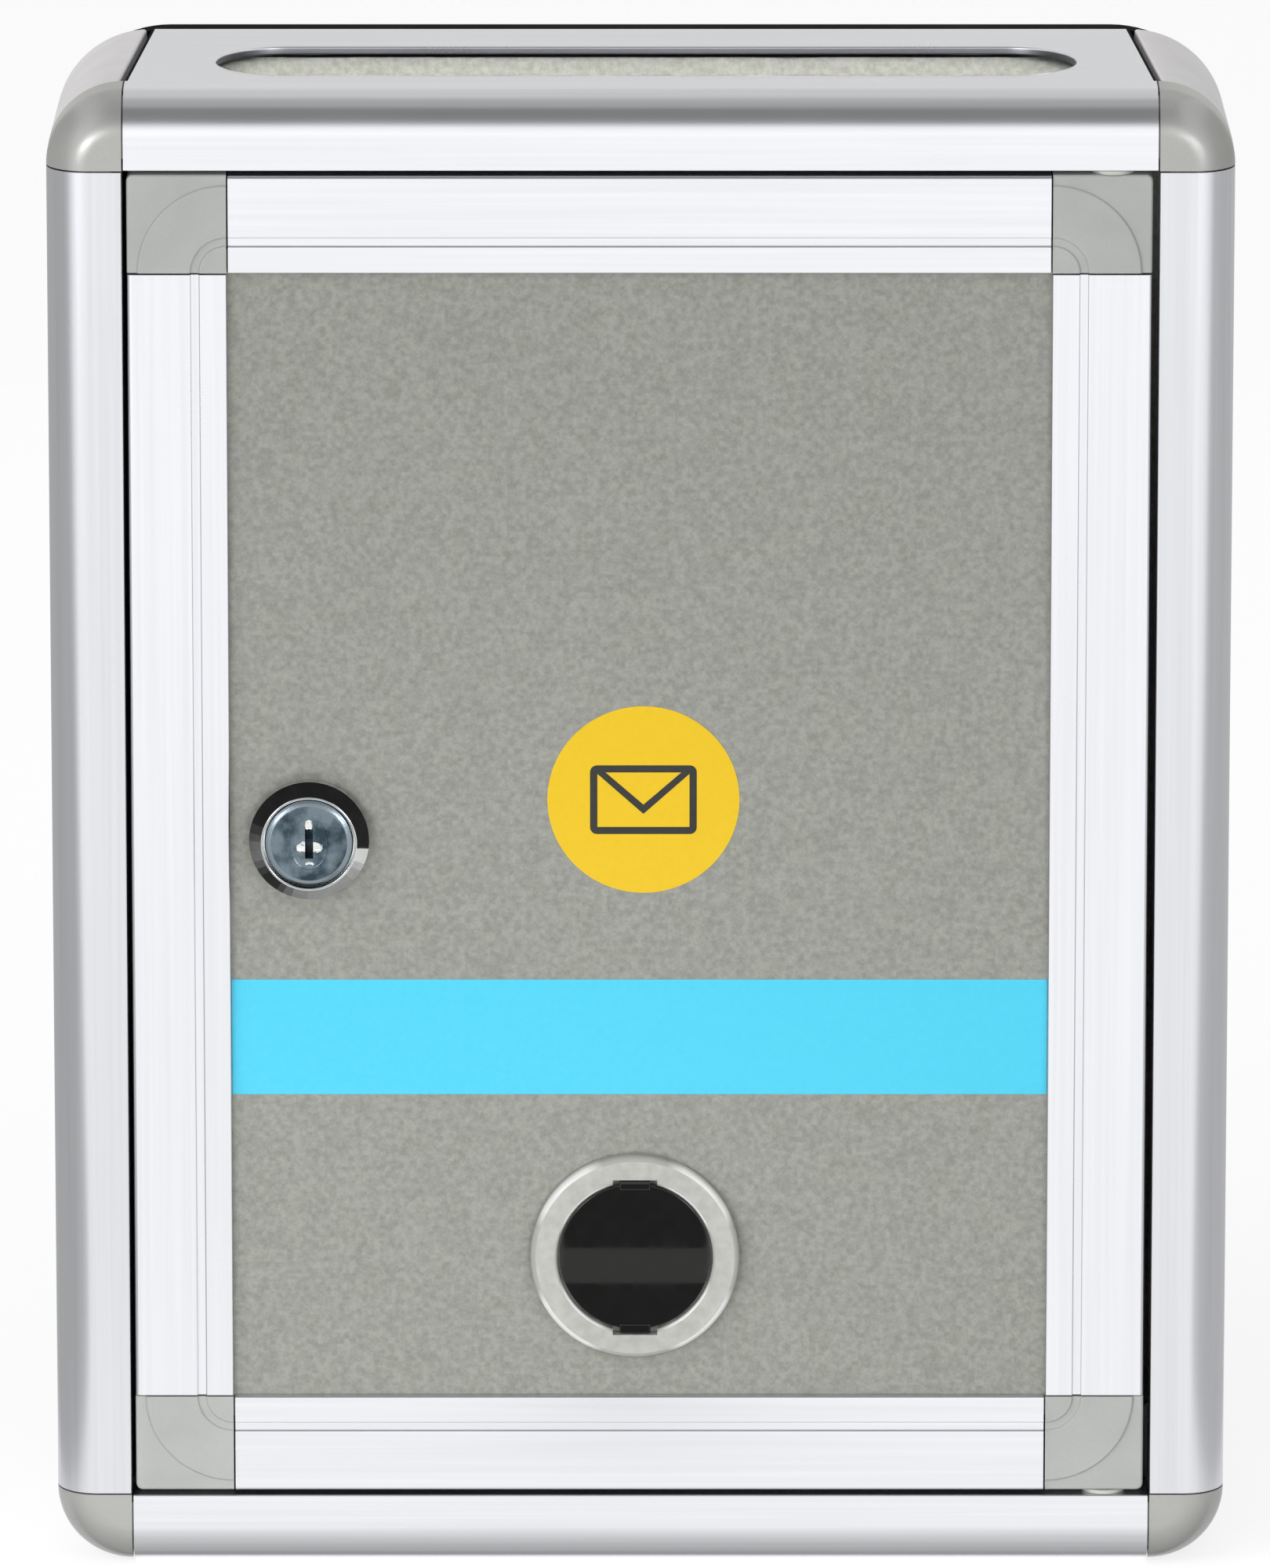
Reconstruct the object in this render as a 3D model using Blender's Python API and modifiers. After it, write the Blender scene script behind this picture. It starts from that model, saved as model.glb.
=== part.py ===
"""A wall-hung suggestion box: four aluminium profiles joined by plastic corners, a slot in the top
profile, and a framed door on two pivot pins with a cam lock and a small round window.

Metres, +Z up. The front faces -Y, and the origin is the middle of the underside of the whole box.
A section is drawn as (u, v): u runs inward from a profile's outer face, and v runs back from the
front plane. A front view is drawn as (x, z).
"""

import math

import bmesh
import bpy
from mathutils import Matrix

MM = 0.001

# Driving dimensions of the case
CASE_WIDTH = 210.0 * MM
CASE_HEIGHT = 270.0 * MM
CASE_DEPTH = 65.0 * MM
LOCK_PROUD = 3.0 * MM
SEAM = 0.3 * MM
OVERRUN = 1.0 * MM
WELD = 0.01 * MM

# Case profile
RAIL_WIDTH = 13.5 * MM
RAIL_WALL = 1.6 * MM
FRONT_RADIUS = 7.5 * MM
STOP_LIP = 5.5 * MM
STOP_GAP = 0.7 * MM
SWING_ROOM = 1.0 * MM

# Posting slot
SLOT_MARGIN = 28.5 * MM
SLOT_WIDTH = 26.0 * MM
SLOT_BACK = 31.5 * MM
SLOT_SHIFT = 1.0 * MM

# Front corner caps
CAP_DEPTH = 13.5 * MM
CAP_WALL = 2.4 * MM
CAP_LEG_REACH = 14.0 * MM
CAP_LEG_ROOT = 3.0 * MM
CAP_LEG_DEPTH = 8.5 * MM

# Corner strips
STRIP_GAP = 0.7 * MM
STRIP_FLANGE = 2.0 * MM
STRIP_REACH = 6.0 * MM
STRIP_FLARE = 3.5 * MM
SCREW_BOSS_RADIUS = 4.6 * MM
SCREW_BOSS_ROOT = 0.7 * MM

# Back
TRIM_DEPTH = 4.2 * MM
TRIM_LEDGE = 5.2 * MM
TRIM_INNER_RADIUS = 24.0 * MM
TRIM_EDGE = 2.1 * MM
TRIM_RIB = 1.5 * MM
TRIM_RIB_HEIGHT = 3.0 * MM
BACK_THICKNESS = 1.5 * MM
KEYHOLE_SPACING = 120.0 * MM
KEYHOLE_DROP = 34.0 * MM
KEYHOLE_RADIUS = 4.5 * MM
KEYHOLE_NECK = 5.0 * MM
KEYHOLE_RISE = 8.0 * MM
FIXING_HOLE_RADIUS = 2.5 * MM
FIXING_HOLE_RISE = 30.0 * MM
SCREW_RADIUS = 1.6 * MM
SCREW_HEAD_RADIUS = 3.0 * MM
SCREW_HEAD_HEIGHT = 1.4 * MM
SCREW_LENGTH = 14.0 * MM
SCREW_SINK = 0.1 * MM
SCREW_DRIVE = 1.0 * MM
SCREW_DRIVE_DEPTH = 0.8 * MM

# Door
DOOR_GAP = 0.8 * MM
DOOR_HINGE_GAP = 1.2 * MM
DOOR_THICKNESS = 10.0 * MM
DOOR_RAIL_WIDTH = 17.6 * MM
DOOR_WALL = 1.5 * MM
DOOR_EDGE_RADIUS = 0.8 * MM
GROOVE_OFFSET = 4.9 * MM
GROOVE_WIDTH = 1.4 * MM
GROOVE_DEPTH = 0.35 * MM
PANEL_RECESS = 1.8 * MM
PANEL_THICKNESS = 1.5 * MM
PANEL_INSERT = 4.0 * MM
BLOCK_PAD_RADIUS = 15.8 * MM
BLOCK_PAD_HEIGHT = 0.5 * MM
BLOCK_LEG_REACH = 15.0 * MM
BLOCK_LEG_ROOT = 2.0 * MM
BLOCK_CORNER_RADIUS = 1.2 * MM

# Hinges
AXIS_INSET = 7.0 * MM
AXIS_BACK = 4.0 * MM
PIN_RADIUS = 1.4 * MM
PIN_HEAD_RADIUS = 2.1 * MM
PIN_HEAD_HEIGHT = 1.5 * MM
PIN_REACH = 8.0 * MM
BUSH_WALL = 0.5 * MM
BUSH_FLANGE_RADIUS = 3.2 * MM
BUSH_FLANGE_THICKNESS = 0.4 * MM
BUSH_LENGTH = 9.0 * MM

# Window
WINDOW_SHIFT = -1.0 * MM
WINDOW_HEIGHT = 58.0 * MM
BEZEL_RADIUS = 18.75 * MM
BEZEL_FLANGE = 2.2 * MM
BEZEL_EDGE = 0.8 * MM
BEZEL_TUBE_WALL = 2.4 * MM
BEZEL_TUBE_LENGTH = 7.5 * MM
LENS_RADIUS = 13.5 * MM
LENS_THICKNESS = 1.7 * MM
LENS_SINK = 0.7 * MM
LENS_SEAT = 1.8 * MM
TAB_WIDTH = 7.0 * MM
TAB_REACH = 1.8 * MM
RETAINER_WALL = 3.0 * MM
RETAINER_THICKNESS = 2.5 * MM

# Lock
LOCK_MARGIN = 14.1 * MM
LOCK_FLANGE_RADIUS = 10.75 * MM
LOCK_FLANGE_EDGE = 2.1 * MM
LOCK_BARREL_RADIUS = 9.0 * MM
LOCK_FLAT_CUT = 1.0 * MM
LOCK_BARREL_LENGTH = 16.0 * MM
PLUG_FACE_RADIUS = 7.9 * MM
PLUG_FACE_THICKNESS = 2.7 * MM
PLUG_FACE_EDGE = 0.4 * MM
PLUG_SINK = 0.4 * MM
PLUG_RADIUS = 6.0 * MM
PLUG_TANG = 7.0 * MM
PLUG_TANG_LENGTH = 2.2 * MM
KEYWAY_WIDTH = 1.5 * MM
KEYWAY_HEIGHT = 5.0 * MM
KEYWAY_DEPTH = 10.0 * MM
KEYWAY_DISH_RADIUS = 2.8 * MM
KEYWAY_DISH_DEPTH = 0.6 * MM
WASHER_THICKNESS = 1.0 * MM
WASHER_RADIUS = 13.0 * MM
NUT_ACROSS_FLATS = 24.0 * MM
NUT_THICKNESS = 4.0 * MM
CAM_THICKNESS = 2.0 * MM
CAM_HUB_RADIUS = 9.0 * MM
CAM_ARM_WIDTH = 12.0 * MM
CAM_REACH = 33.0 * MM
CAM_CRANK_START = 10.5 * MM
CAM_CRANK_RUN = 5.0 * MM
CAM_CLEARANCE = 1.2 * MM
CAM_SCREW_HEAD_RADIUS = 5.0 * MM
CAM_SCREW_HEAD_HEIGHT = 2.2 * MM
CAM_SCREW_RADIUS = 1.6 * MM
CAM_SCREW_LENGTH = 7.0 * MM

# Facets
ARC_STEPS = 6
TURN_STEPS = 36
SMALL_TURN_STEPS = 20
EDGE_STEPS = 3
HEX_SIDES = 6
SHARP_ANGLE = 35

# Planes and lines that several pieces share
FRONT = (LOCK_PROUD - CASE_DEPTH) / 2
MIDDLE = CASE_HEIGHT / 2
RAIL_REAR = CASE_DEPTH - TRIM_DEPTH - SEAM
TRIM_FRONT = CASE_DEPTH - TRIM_DEPTH
STOP_FRONT = DOOR_THICKNESS + STOP_GAP
STOP_REAR = STOP_FRONT + RAIL_WALL
OPENING_HALF_WIDTH = CASE_WIDTH / 2 - RAIL_WIDTH
OPENING_HALF_HEIGHT = CASE_HEIGHT / 2 - RAIL_WIDTH
DOOR_LEFT = -OPENING_HALF_WIDTH + DOOR_GAP
DOOR_RIGHT = OPENING_HALF_WIDTH - DOOR_HINGE_GAP
DOOR_BOTTOM = RAIL_WIDTH + DOOR_GAP
DOOR_TOP = CASE_HEIGHT - RAIL_WIDTH - DOOR_GAP
AXIS_X = DOOR_RIGHT - AXIS_INSET
AXIS_Y = FRONT + AXIS_BACK
PANEL_REAR = PANEL_RECESS + PANEL_THICKNESS
SLOT_LENGTH = CASE_WIDTH - 2 * SLOT_MARGIN
WINDOW_X = WINDOW_SHIFT
LOCK_X = DOOR_LEFT + DOOR_RAIL_WIDTH + LOCK_MARGIN
LOCK_Z = MIDDLE
STRIP_OUTER = RAIL_WIDTH - RAIL_WALL - SEAM
STRIP_INNER = STRIP_OUTER - STRIP_FLANGE
SCREW_REACH = STRIP_INNER + SCREW_BOSS_ROOT - SCREW_BOSS_RADIUS
SCREW_OFFSET = SCREW_REACH / math.sqrt(2)
LOCK_BARREL_FLAT = LOCK_BARREL_RADIUS - LOCK_FLAT_CUT
BARREL_REAR = PANEL_RECESS + LOCK_BARREL_LENGTH
BEZEL_BORE_RADIUS = LENS_RADIUS + SEAM
BEZEL_TUBE_RADIUS = BEZEL_BORE_RADIUS + BEZEL_TUBE_WALL
BUSH_BORE_RADIUS = PIN_RADIUS + SEAM
BUSH_RADIUS = BUSH_BORE_RADIUS + BUSH_WALL

# The four profiles and the four corners in turn, as quarter turns about the depth axis
SIDES = {"left": 0, "top": 90, "right": 180, "bottom": 270}
CORNERS = {"top_left": 0, "top_right": 90, "bottom_right": 180, "bottom_left": 270}


# Drawing

def arc(centre, radius, start, end, steps=ARC_STEPS):
    """Points on an arc between two angles in degrees, both ends included."""
    points = []
    for i in range(steps + 1):
        angle = math.radians(start + (end - start) * i / steps)
        points.append((centre[0] + radius * math.cos(angle), centre[1] + radius * math.sin(angle)))
    return points


def circle(centre, radius, steps=TURN_STEPS):
    return arc(centre, radius, 0, 360, steps)[:-1]


def rounded_rectangle(half_width, half_height, radius):
    """A rectangle with four round corners, about the origin."""
    x = half_width - radius
    y = half_height - radius
    points = []
    for side_x, side_y, start in ((x, y, 0), (-x, y, 90), (-x, -y, 180), (x, -y, 270)):
        points += arc((side_x, side_y), radius, start, start + 90)
    return points


def double_d(centre, radius, flat):
    """A circle with two upright flats at the given distance from its centre."""
    half = math.degrees(math.acos(flat / radius))
    upper = arc(centre, radius, half, 180 - half, 2 * ARC_STEPS)
    lower = arc(centre, radius, 180 + half, 360 - half, 2 * ARC_STEPS)
    return upper + lower


def keyhole(centre, radius, neck, rise):
    """A round hole with a narrower slot that rises from it to a round end."""
    half = neck / 2
    meet = math.degrees(math.asin(half / radius))
    hole = arc(centre, radius, 90 + meet, 450 - meet, 4 * ARC_STEPS)
    return hole + arc((centre[0], centre[1] + rise), half, 0, 180)


# Making solids

def tidy(mesh):
    """Welds a mesh and turns its faces outward."""
    shape = bmesh.new()
    shape.from_mesh(mesh)
    bmesh.ops.remove_doubles(shape, verts=shape.verts, dist=WELD)
    bmesh.ops.recalc_face_normals(shape, faces=shape.faces)
    shape.to_mesh(mesh)
    shape.free()


def baked(drawn, name):
    """The evaluated mesh of a drawn object, which is removed, as a new object."""
    scene.collection.objects.link(drawn)
    bpy.context.view_layer.update()
    mesh = bpy.data.meshes.new_from_object(drawn.evaluated_get(bpy.context.evaluated_depsgraph_get()))
    data = drawn.data
    bpy.data.objects.remove(drawn)
    if isinstance(data, bpy.types.Curve):
        bpy.data.curves.remove(data)
    else:
        bpy.data.meshes.remove(data)
    tidy(mesh)
    mesh.name = name
    return bpy.data.objects.new(name, mesh)


def extrusion(name, loops, start, end):
    """An outline in X and Y, with its holes, extruded along Z from start to end."""
    curve = bpy.data.curves.new(name, "CURVE")
    curve.dimensions = "2D"
    curve.fill_mode = "BOTH"
    curve.extrude = (end - start) / 2
    for loop in loops:
        spline = curve.splines.new("POLY")
        spline.points.add(len(loop) - 1)
        for point, (x, y) in zip(spline.points, loop):
            point.co = (x, y, 0, 1)
        spline.use_cyclic_u = True
    solid = baked(bpy.data.objects.new(name, curve), name)
    solid.data.transform(Matrix.Translation((0, 0, (start + end) / 2)))
    return solid


def plate(name, loops, front, rear):
    """A front-view outline in X and Z, with its holes, that spans Y from front to rear."""
    solid = extrusion(name, loops, -rear, -front)
    solid.data.transform(Matrix.Rotation(math.radians(90), 4, "X"))
    return solid


def turned(name, profile, closed=False, steps=TURN_STEPS):
    """A profile of (radius, depth) points turned about the depth axis."""
    mesh = bpy.data.meshes.new(name)
    edges = [(i, i + 1) for i in range(len(profile) - 1)]
    if closed:
        edges.append((len(profile) - 1, 0))
    mesh.from_pydata([(radius, depth, 0) for radius, depth in profile], edges, [])
    drawn = bpy.data.objects.new(name, mesh)
    screw = drawn.modifiers.new("Turn", "SCREW")
    screw.axis = "Y"
    screw.steps = steps
    screw.render_steps = steps
    screw.use_merge_vertices = True
    screw.merge_threshold = WELD
    return baked(drawn, name)


def lofted(name, front_outline, front, rear_outline, rear):
    """A solid between two front-view outlines that have the same number of points."""
    shape = bmesh.new()
    near = [shape.verts.new((x, front, z)) for x, z in front_outline]
    far = [shape.verts.new((x, rear, z)) for x, z in rear_outline]
    shape.faces.new(near)
    shape.faces.new(far)
    for i in range(len(near)):
        shape.faces.new((near[i - 1], near[i], far[i], far[i - 1]))
    bmesh.ops.recalc_face_normals(shape, faces=shape.faces)
    mesh = bpy.data.meshes.new(name)
    shape.to_mesh(mesh)
    shape.free()
    return bpy.data.objects.new(name, mesh)


def box(name, low, high):
    """A block between two corners."""
    shape = bmesh.new()
    bmesh.ops.create_cube(shape, size=1)
    size = [b - a for a, b in zip(low, high)]
    centre = [(a + b) / 2 for a, b in zip(low, high)]
    bmesh.ops.transform(shape, verts=shape.verts, matrix=Matrix.Diagonal((*size, 1)))
    bmesh.ops.translate(shape, verts=shape.verts, vec=centre)
    mesh = bpy.data.meshes.new(name)
    shape.to_mesh(mesh)
    shape.free()
    return bpy.data.objects.new(name, mesh)


def rod(name, radius, low, high, turn=None, steps=SMALL_TURN_STEPS):
    """A cylinder along Z, or turned to lie along another axis by a rotation."""
    shape = bmesh.new()
    bmesh.ops.create_cone(
        shape, cap_ends=True, segments=steps, radius1=radius, radius2=radius, depth=high - low
    )
    bmesh.ops.translate(shape, verts=shape.verts, vec=(0, 0, (low + high) / 2))
    mesh = bpy.data.meshes.new(name)
    shape.to_mesh(mesh)
    shape.free()
    if turn is not None:
        mesh.transform(turn)
    return bpy.data.objects.new(name, mesh)


def group(name, solids):
    """Several solids that lie apart, as one object."""
    shape = bmesh.new()
    for solid in solids:
        shape.from_mesh(solid.data)
        bpy.data.meshes.remove(solid.data)
    mesh = bpy.data.meshes.new(name)
    shape.to_mesh(mesh)
    shape.free()
    return bpy.data.objects.new(name, mesh)


ALONG_X = Matrix.Rotation(math.radians(90), 4, "Y")
ALONG_Y = Matrix.Rotation(math.radians(-90), 4, "X")


def boolean(target, tool, operation):
    """Cuts or joins the target with a tool drawn in the target's own frame."""
    tools.objects.link(tool)
    tool.parent = target
    tool.hide_render = True
    tool.display_type = "WIRE"
    modifier = target.modifiers.new(tool.name, "BOOLEAN")
    modifier.operation = operation
    modifier.object = tool


def cut(target, *cutters):
    for cutter in cutters:
        boolean(target, cutter, "DIFFERENCE")


def join(target, *others):
    for other in others:
        boolean(target, other, "UNION")


def move(solid, offset):
    """Shifts a solid's mesh, so that it is drawn round its place in its own frame."""
    solid.data.transform(Matrix.Translation(offset))
    return solid


# Placing

def material(name, colour, roughness, metallic=0.0, transmission=0.0):
    made = bpy.data.materials.new(name)
    made.use_nodes = True
    shader = made.node_tree.nodes["Principled BSDF"]
    shader.inputs["Base Color"].default_value = (*colour, 1)
    shader.inputs["Roughness"].default_value = roughness
    shader.inputs["Metallic"].default_value = metallic
    shader.inputs["Transmission Weight"].default_value = transmission
    made.diffuse_color = (*colour, 1)
    return made


def hand_to(carrier, thing, location):
    """Parents a thing to an unturned carrier, at a place in the object's own frame."""
    origin = [0, 0, 0]
    step = carrier
    while step is not None:
        origin = [a + b for a, b in zip(origin, step.location)]
        step = step.parent
    parts.objects.link(thing)
    thing.parent = carrier
    thing.location = [a - b for a, b in zip(location, origin)]


def body(name, location, carrier=None):
    """An empty that carries the pieces of one body, on its joint's axis."""
    empty = bpy.data.objects.new(name, None)
    hand_to(carrier, empty, location)
    return empty


def place(solid, carrier, finish, location, quarter=0):
    """Hands a solid to its body, after quarter turns in degrees about the depth axis."""
    hand_to(carrier, solid, location)
    solid.rotation_euler = (0, math.radians(quarter), 0)
    solid.data.materials.append(finish)


def side_place(side, half_width, half_height, centre_x=0):
    """The middle of one side's outer face, on the front plane."""
    x = {"left": -half_width, "right": half_width}.get(side, 0)
    z = {"bottom": -half_height, "top": half_height}.get(side, 0)
    return (centre_x + x, FRONT, MIDDLE + z)


def corner_place(corner, half_width, half_height, centre_x=0):
    x = -half_width if "left" in corner else half_width
    z = half_height if "top" in corner else -half_height
    return (centre_x + x, FRONT, MIDDLE + z)


def hinge_bore(name, corner, radius, inset, outward, inward):
    """A bore on the hinge axis, in the frame of a right-hand corner."""
    if corner == "top_right":
        return move(rod(name, radius, -outward, inward, ALONG_X), (0, AXIS_BACK, -inset))
    return move(rod(name, radius, -inward, outward), (inset, AXIS_BACK, 0))


# Case profiles

def case_section(with_stop):
    """Outer wall, quarter-round front, flat face, jamb and, behind the door's edge, a stop lip."""
    bend = (FRONT_RADIUS, FRONT_RADIUS)
    jamb = RAIL_WIDTH - RAIL_WALL
    outside = [(0, RAIL_REAR)] + arc(bend, FRONT_RADIUS, 180, 270) + [(RAIL_WIDTH, 0)]
    if with_stop:
        lip = RAIL_WIDTH + STOP_LIP
        outside += [(RAIL_WIDTH, STOP_FRONT), (lip, STOP_FRONT), (lip, STOP_REAR)]
    else:
        outside += [(RAIL_WIDTH, STOP_REAR)]
    inside = [(jamb, STOP_REAR), (jamb, RAIL_WALL)]
    inside += arc(bend, FRONT_RADIUS - RAIL_WALL, 270, 180) + [(RAIL_WALL, RAIL_REAR)]
    return outside + inside


def lip_cut(name, hand, start, end):
    """Takes the stop lip off a top or bottom profile between two places across the box."""
    low, high = sorted((hand * start, hand * end))
    return box(
        name,
        (RAIL_WIDTH + SEAM / 2, STOP_FRONT - STOP_GAP / 2, low),
        (RAIL_WIDTH + STOP_LIP + OVERRUN, STOP_REAR + OVERRUN, high),
    )


def cross_rail_cuts(side, half_length):
    """Clears the lip for the left profile's lip and for the door's rear corner, and bores for the pin."""
    hand = 1 if side == "top" else -1
    end = half_length + OVERRUN
    corner = lip_cut(f"{side}_lip_corner_cut", hand, -end, STOP_LIP + SEAM - OPENING_HALF_WIDTH)
    sweep = math.hypot(AXIS_INSET, DOOR_THICKNESS - AXIS_BACK)
    swing = lip_cut(f"{side}_lip_swing_cut", hand, AXIS_X - sweep - SWING_ROOM, end)
    bore = rod(
        f"{side}_pin_bore",
        PIN_RADIUS + SEAM,
        RAIL_WIDTH - RAIL_WALL - OVERRUN,
        RAIL_WIDTH + OVERRUN,
        ALONG_X,
    )
    return corner, swing, move(bore, (0, AXIS_BACK, hand * AXIS_X))


def wall_cutter(name, outlines, back, along):
    """Outlines of (depth, length) pairs cut through a profile's outer wall, about a place on it."""
    cutter = extrusion(name, outlines, -OVERRUN, RAIL_WALL + OVERRUN)
    cutter.data.transform(Matrix(((0, 0, 1, 0), (1, 0, 0, back), (0, 1, 0, along), (0, 0, 0, 1))))
    return cutter


def slot_cut():
    """The posting slot: a long hole with round ends, in the frame of the top profile."""
    end = SLOT_WIDTH / 2
    reach = SLOT_LENGTH / 2 - end
    outline = arc((0, reach), end, 0, 180, 2 * ARC_STEPS) + arc((0, -reach), end, 180, 360, 2 * ARC_STEPS)
    return wall_cutter("slot_cut", [outline], SLOT_BACK, SLOT_SHIFT)


def flare_at(depth):
    """How far the corner strips have widened at a depth behind the front plane."""
    return STRIP_FLARE * (depth - CAP_DEPTH) / (RAIL_REAR - CAP_DEPTH)


def slant_cuts(side, half_length):
    """Slants both ends of a profile's outer wall behind the corner caps, along the flared strips."""
    front = CAP_DEPTH - OVERRUN
    rear = RAIL_REAR + OVERRUN
    end = half_length + 2 * OVERRUN
    line = [(front, half_length - flare_at(front)), (rear, half_length - flare_at(rear))]
    upper = line + [(rear, end), (front, end)]
    lower = [(depth, -along) for depth, along in upper]
    return wall_cutter(f"{side}_slant_cut", [upper, lower], 0, 0)


def make_case_rails():
    for side, quarter in SIDES.items():
        across = side in ("top", "bottom")
        half_length = (OPENING_HALF_WIDTH if across else OPENING_HALF_HEIGHT) - SEAM
        section = case_section(with_stop=side != "right")
        rail = extrusion(f"rail_{side}", [section], -half_length, half_length)
        cut(rail, slant_cuts(side, half_length))
        if across:
            cut(rail, *cross_rail_cuts(side, half_length))
        if side == "top":
            cut(rail, slot_cut())
        place(rail, case, anodised, side_place(side, CASE_WIDTH / 2, CASE_HEIGHT / 2), quarter)


# Corner caps: the profile's front turned a quarter round the corner, with a leg for each profile

def leg_section(width, depth, wall, corner_radius):
    """A leg that fits a profile's hollow, in (u, v) from the profile's outer front edge."""
    near = wall + SEAM
    far = width - wall - SEAM
    bend = near + corner_radius
    front = arc((bend, bend), corner_radius, 180, 270)
    return front + [(far, near), (far, near + depth), (near, near + depth)]


def cap_leg(name, start, end, quarter):
    """One leg, moved so that the corner's centre is its origin."""
    section = leg_section(RAIL_WIDTH, CAP_LEG_DEPTH, RAIL_WALL, FRONT_RADIUS - RAIL_WALL - SEAM)
    leg = move(extrusion(name, [section], start, end), (-RAIL_WIDTH, 0, 0))
    leg.data.transform(Matrix.Rotation(math.radians(quarter), 4, "Y"))
    return leg


def make_corner_cap(corner, quarter):
    flat = RAIL_WIDTH - FRONT_RADIUS
    bend = (flat, FRONT_RADIUS)
    inner = FRONT_RADIUS - CAP_WALL
    profile = [(0, 0)] + arc(bend, FRONT_RADIUS, 270, 360)
    profile += [(RAIL_WIDTH, CAP_DEPTH), (RAIL_WIDTH - CAP_WALL, CAP_DEPTH)]
    profile += arc(bend, inner, 360, 270) + [(0, CAP_WALL)]
    cap = turned(f"corner_cap_{corner}", profile)
    reach = RAIL_WIDTH + OVERRUN
    keep = box(f"{corner}_cap_keep", (-reach, -OVERRUN, 0), (0, CAP_DEPTH + OVERRUN, reach))
    boolean(cap, keep, "INTERSECT")
    join(
        cap,
        cap_leg(f"{corner}_side_leg", -CAP_LEG_REACH, CAP_LEG_ROOT, 0),
        cap_leg(f"{corner}_cross_leg", -CAP_LEG_ROOT, CAP_LEG_REACH, 90),
    )
    if "right" in corner:
        name = f"{corner}_pin_head_cut"
        inset = AXIS_INSET + DOOR_HINGE_GAP
        outward = RAIL_WIDTH - RAIL_WALL
        cut(cap, hinge_bore(name, corner, PIN_HEAD_RADIUS + SEAM, inset, outward, 0))
    place(cap, case, cap_plastic, corner_place(corner, OPENING_HALF_WIDTH, OPENING_HALF_HEIGHT), quarter)


# Corner strips: a flared quarter-round skin with flanges that lie behind the profiles, and a screw boss

def boss_bulge():
    """The flange's inner arc, from the top leg to the side leg, with the screw boss standing in from it."""
    across = 2 * STRIP_INNER * SCREW_REACH
    spread = math.degrees(math.acos((STRIP_INNER ** 2 + SCREW_REACH ** 2 - SCREW_BOSS_RADIUS ** 2) / across))
    around = 2 * SCREW_REACH * SCREW_BOSS_RADIUS
    meet = math.degrees(math.acos((STRIP_INNER ** 2 - SCREW_REACH ** 2 - SCREW_BOSS_RADIUS ** 2) / around))
    boss = arc((-SCREW_OFFSET, SCREW_OFFSET), SCREW_BOSS_RADIUS, 135 - meet, meet - 225, 2 * ARC_STEPS)
    before = arc((0, 0), STRIP_INNER, 90, 135 - spread)
    after = arc((0, 0), STRIP_INNER, 135 + spread, 180)
    return before + boss[1:-1] + after


def strip_outline(flare):
    """The strip's section where its round has widened by a flare."""
    edge = STRIP_GAP - SEAM
    radius = RAIL_WIDTH + flare
    lean = math.degrees(math.asin(edge / radius))
    reach = STRIP_REACH + flare
    outline = arc((flare, -flare), radius, 180 - lean, 90 + lean)
    outline += [(flare - edge, STRIP_OUTER), (reach, STRIP_OUTER), (reach, STRIP_INNER)]
    outline += boss_bulge()
    return outline + [(-STRIP_INNER, -reach), (-STRIP_OUTER, -reach), (-STRIP_OUTER, edge - flare)]


def make_corner_strip(corner, quarter):
    front = CAP_DEPTH + SEAM
    outlines = [strip_outline(flare_at(depth)) for depth in (front, RAIL_REAR)]
    strip = lofted(f"corner_strip_{corner}", outlines[0], front, outlines[1], RAIL_REAR)
    bore = rod(f"{corner}_screw_bore", SCREW_RADIUS + SEAM, CAP_DEPTH, RAIL_REAR + OVERRUN, ALONG_Y)
    cut(strip, move(bore, (-SCREW_OFFSET, 0, SCREW_OFFSET)))
    place(strip, case, strip_plastic, corner_place(corner, OPENING_HALF_WIDTH, OPENING_HALF_HEIGHT), quarter)


# Back

def outer_outline(inset, radius=None):
    """The case's front-view outline, drawn in by an inset."""
    corner_radius = RAIL_WIDTH + STRIP_FLARE - inset if radius is None else radius
    return rounded_rectangle(CASE_WIDTH / 2 - inset, CASE_HEIGHT / 2 - inset, corner_radius)


def screw_places():
    """Where the back screws go, from the middle of the back."""
    for corner in CORNERS:
        x, _, z = corner_place(corner, OPENING_HALF_WIDTH + SCREW_OFFSET, OPENING_HALF_HEIGHT + SCREW_OFFSET)
        yield x, z - MIDDLE


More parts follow.
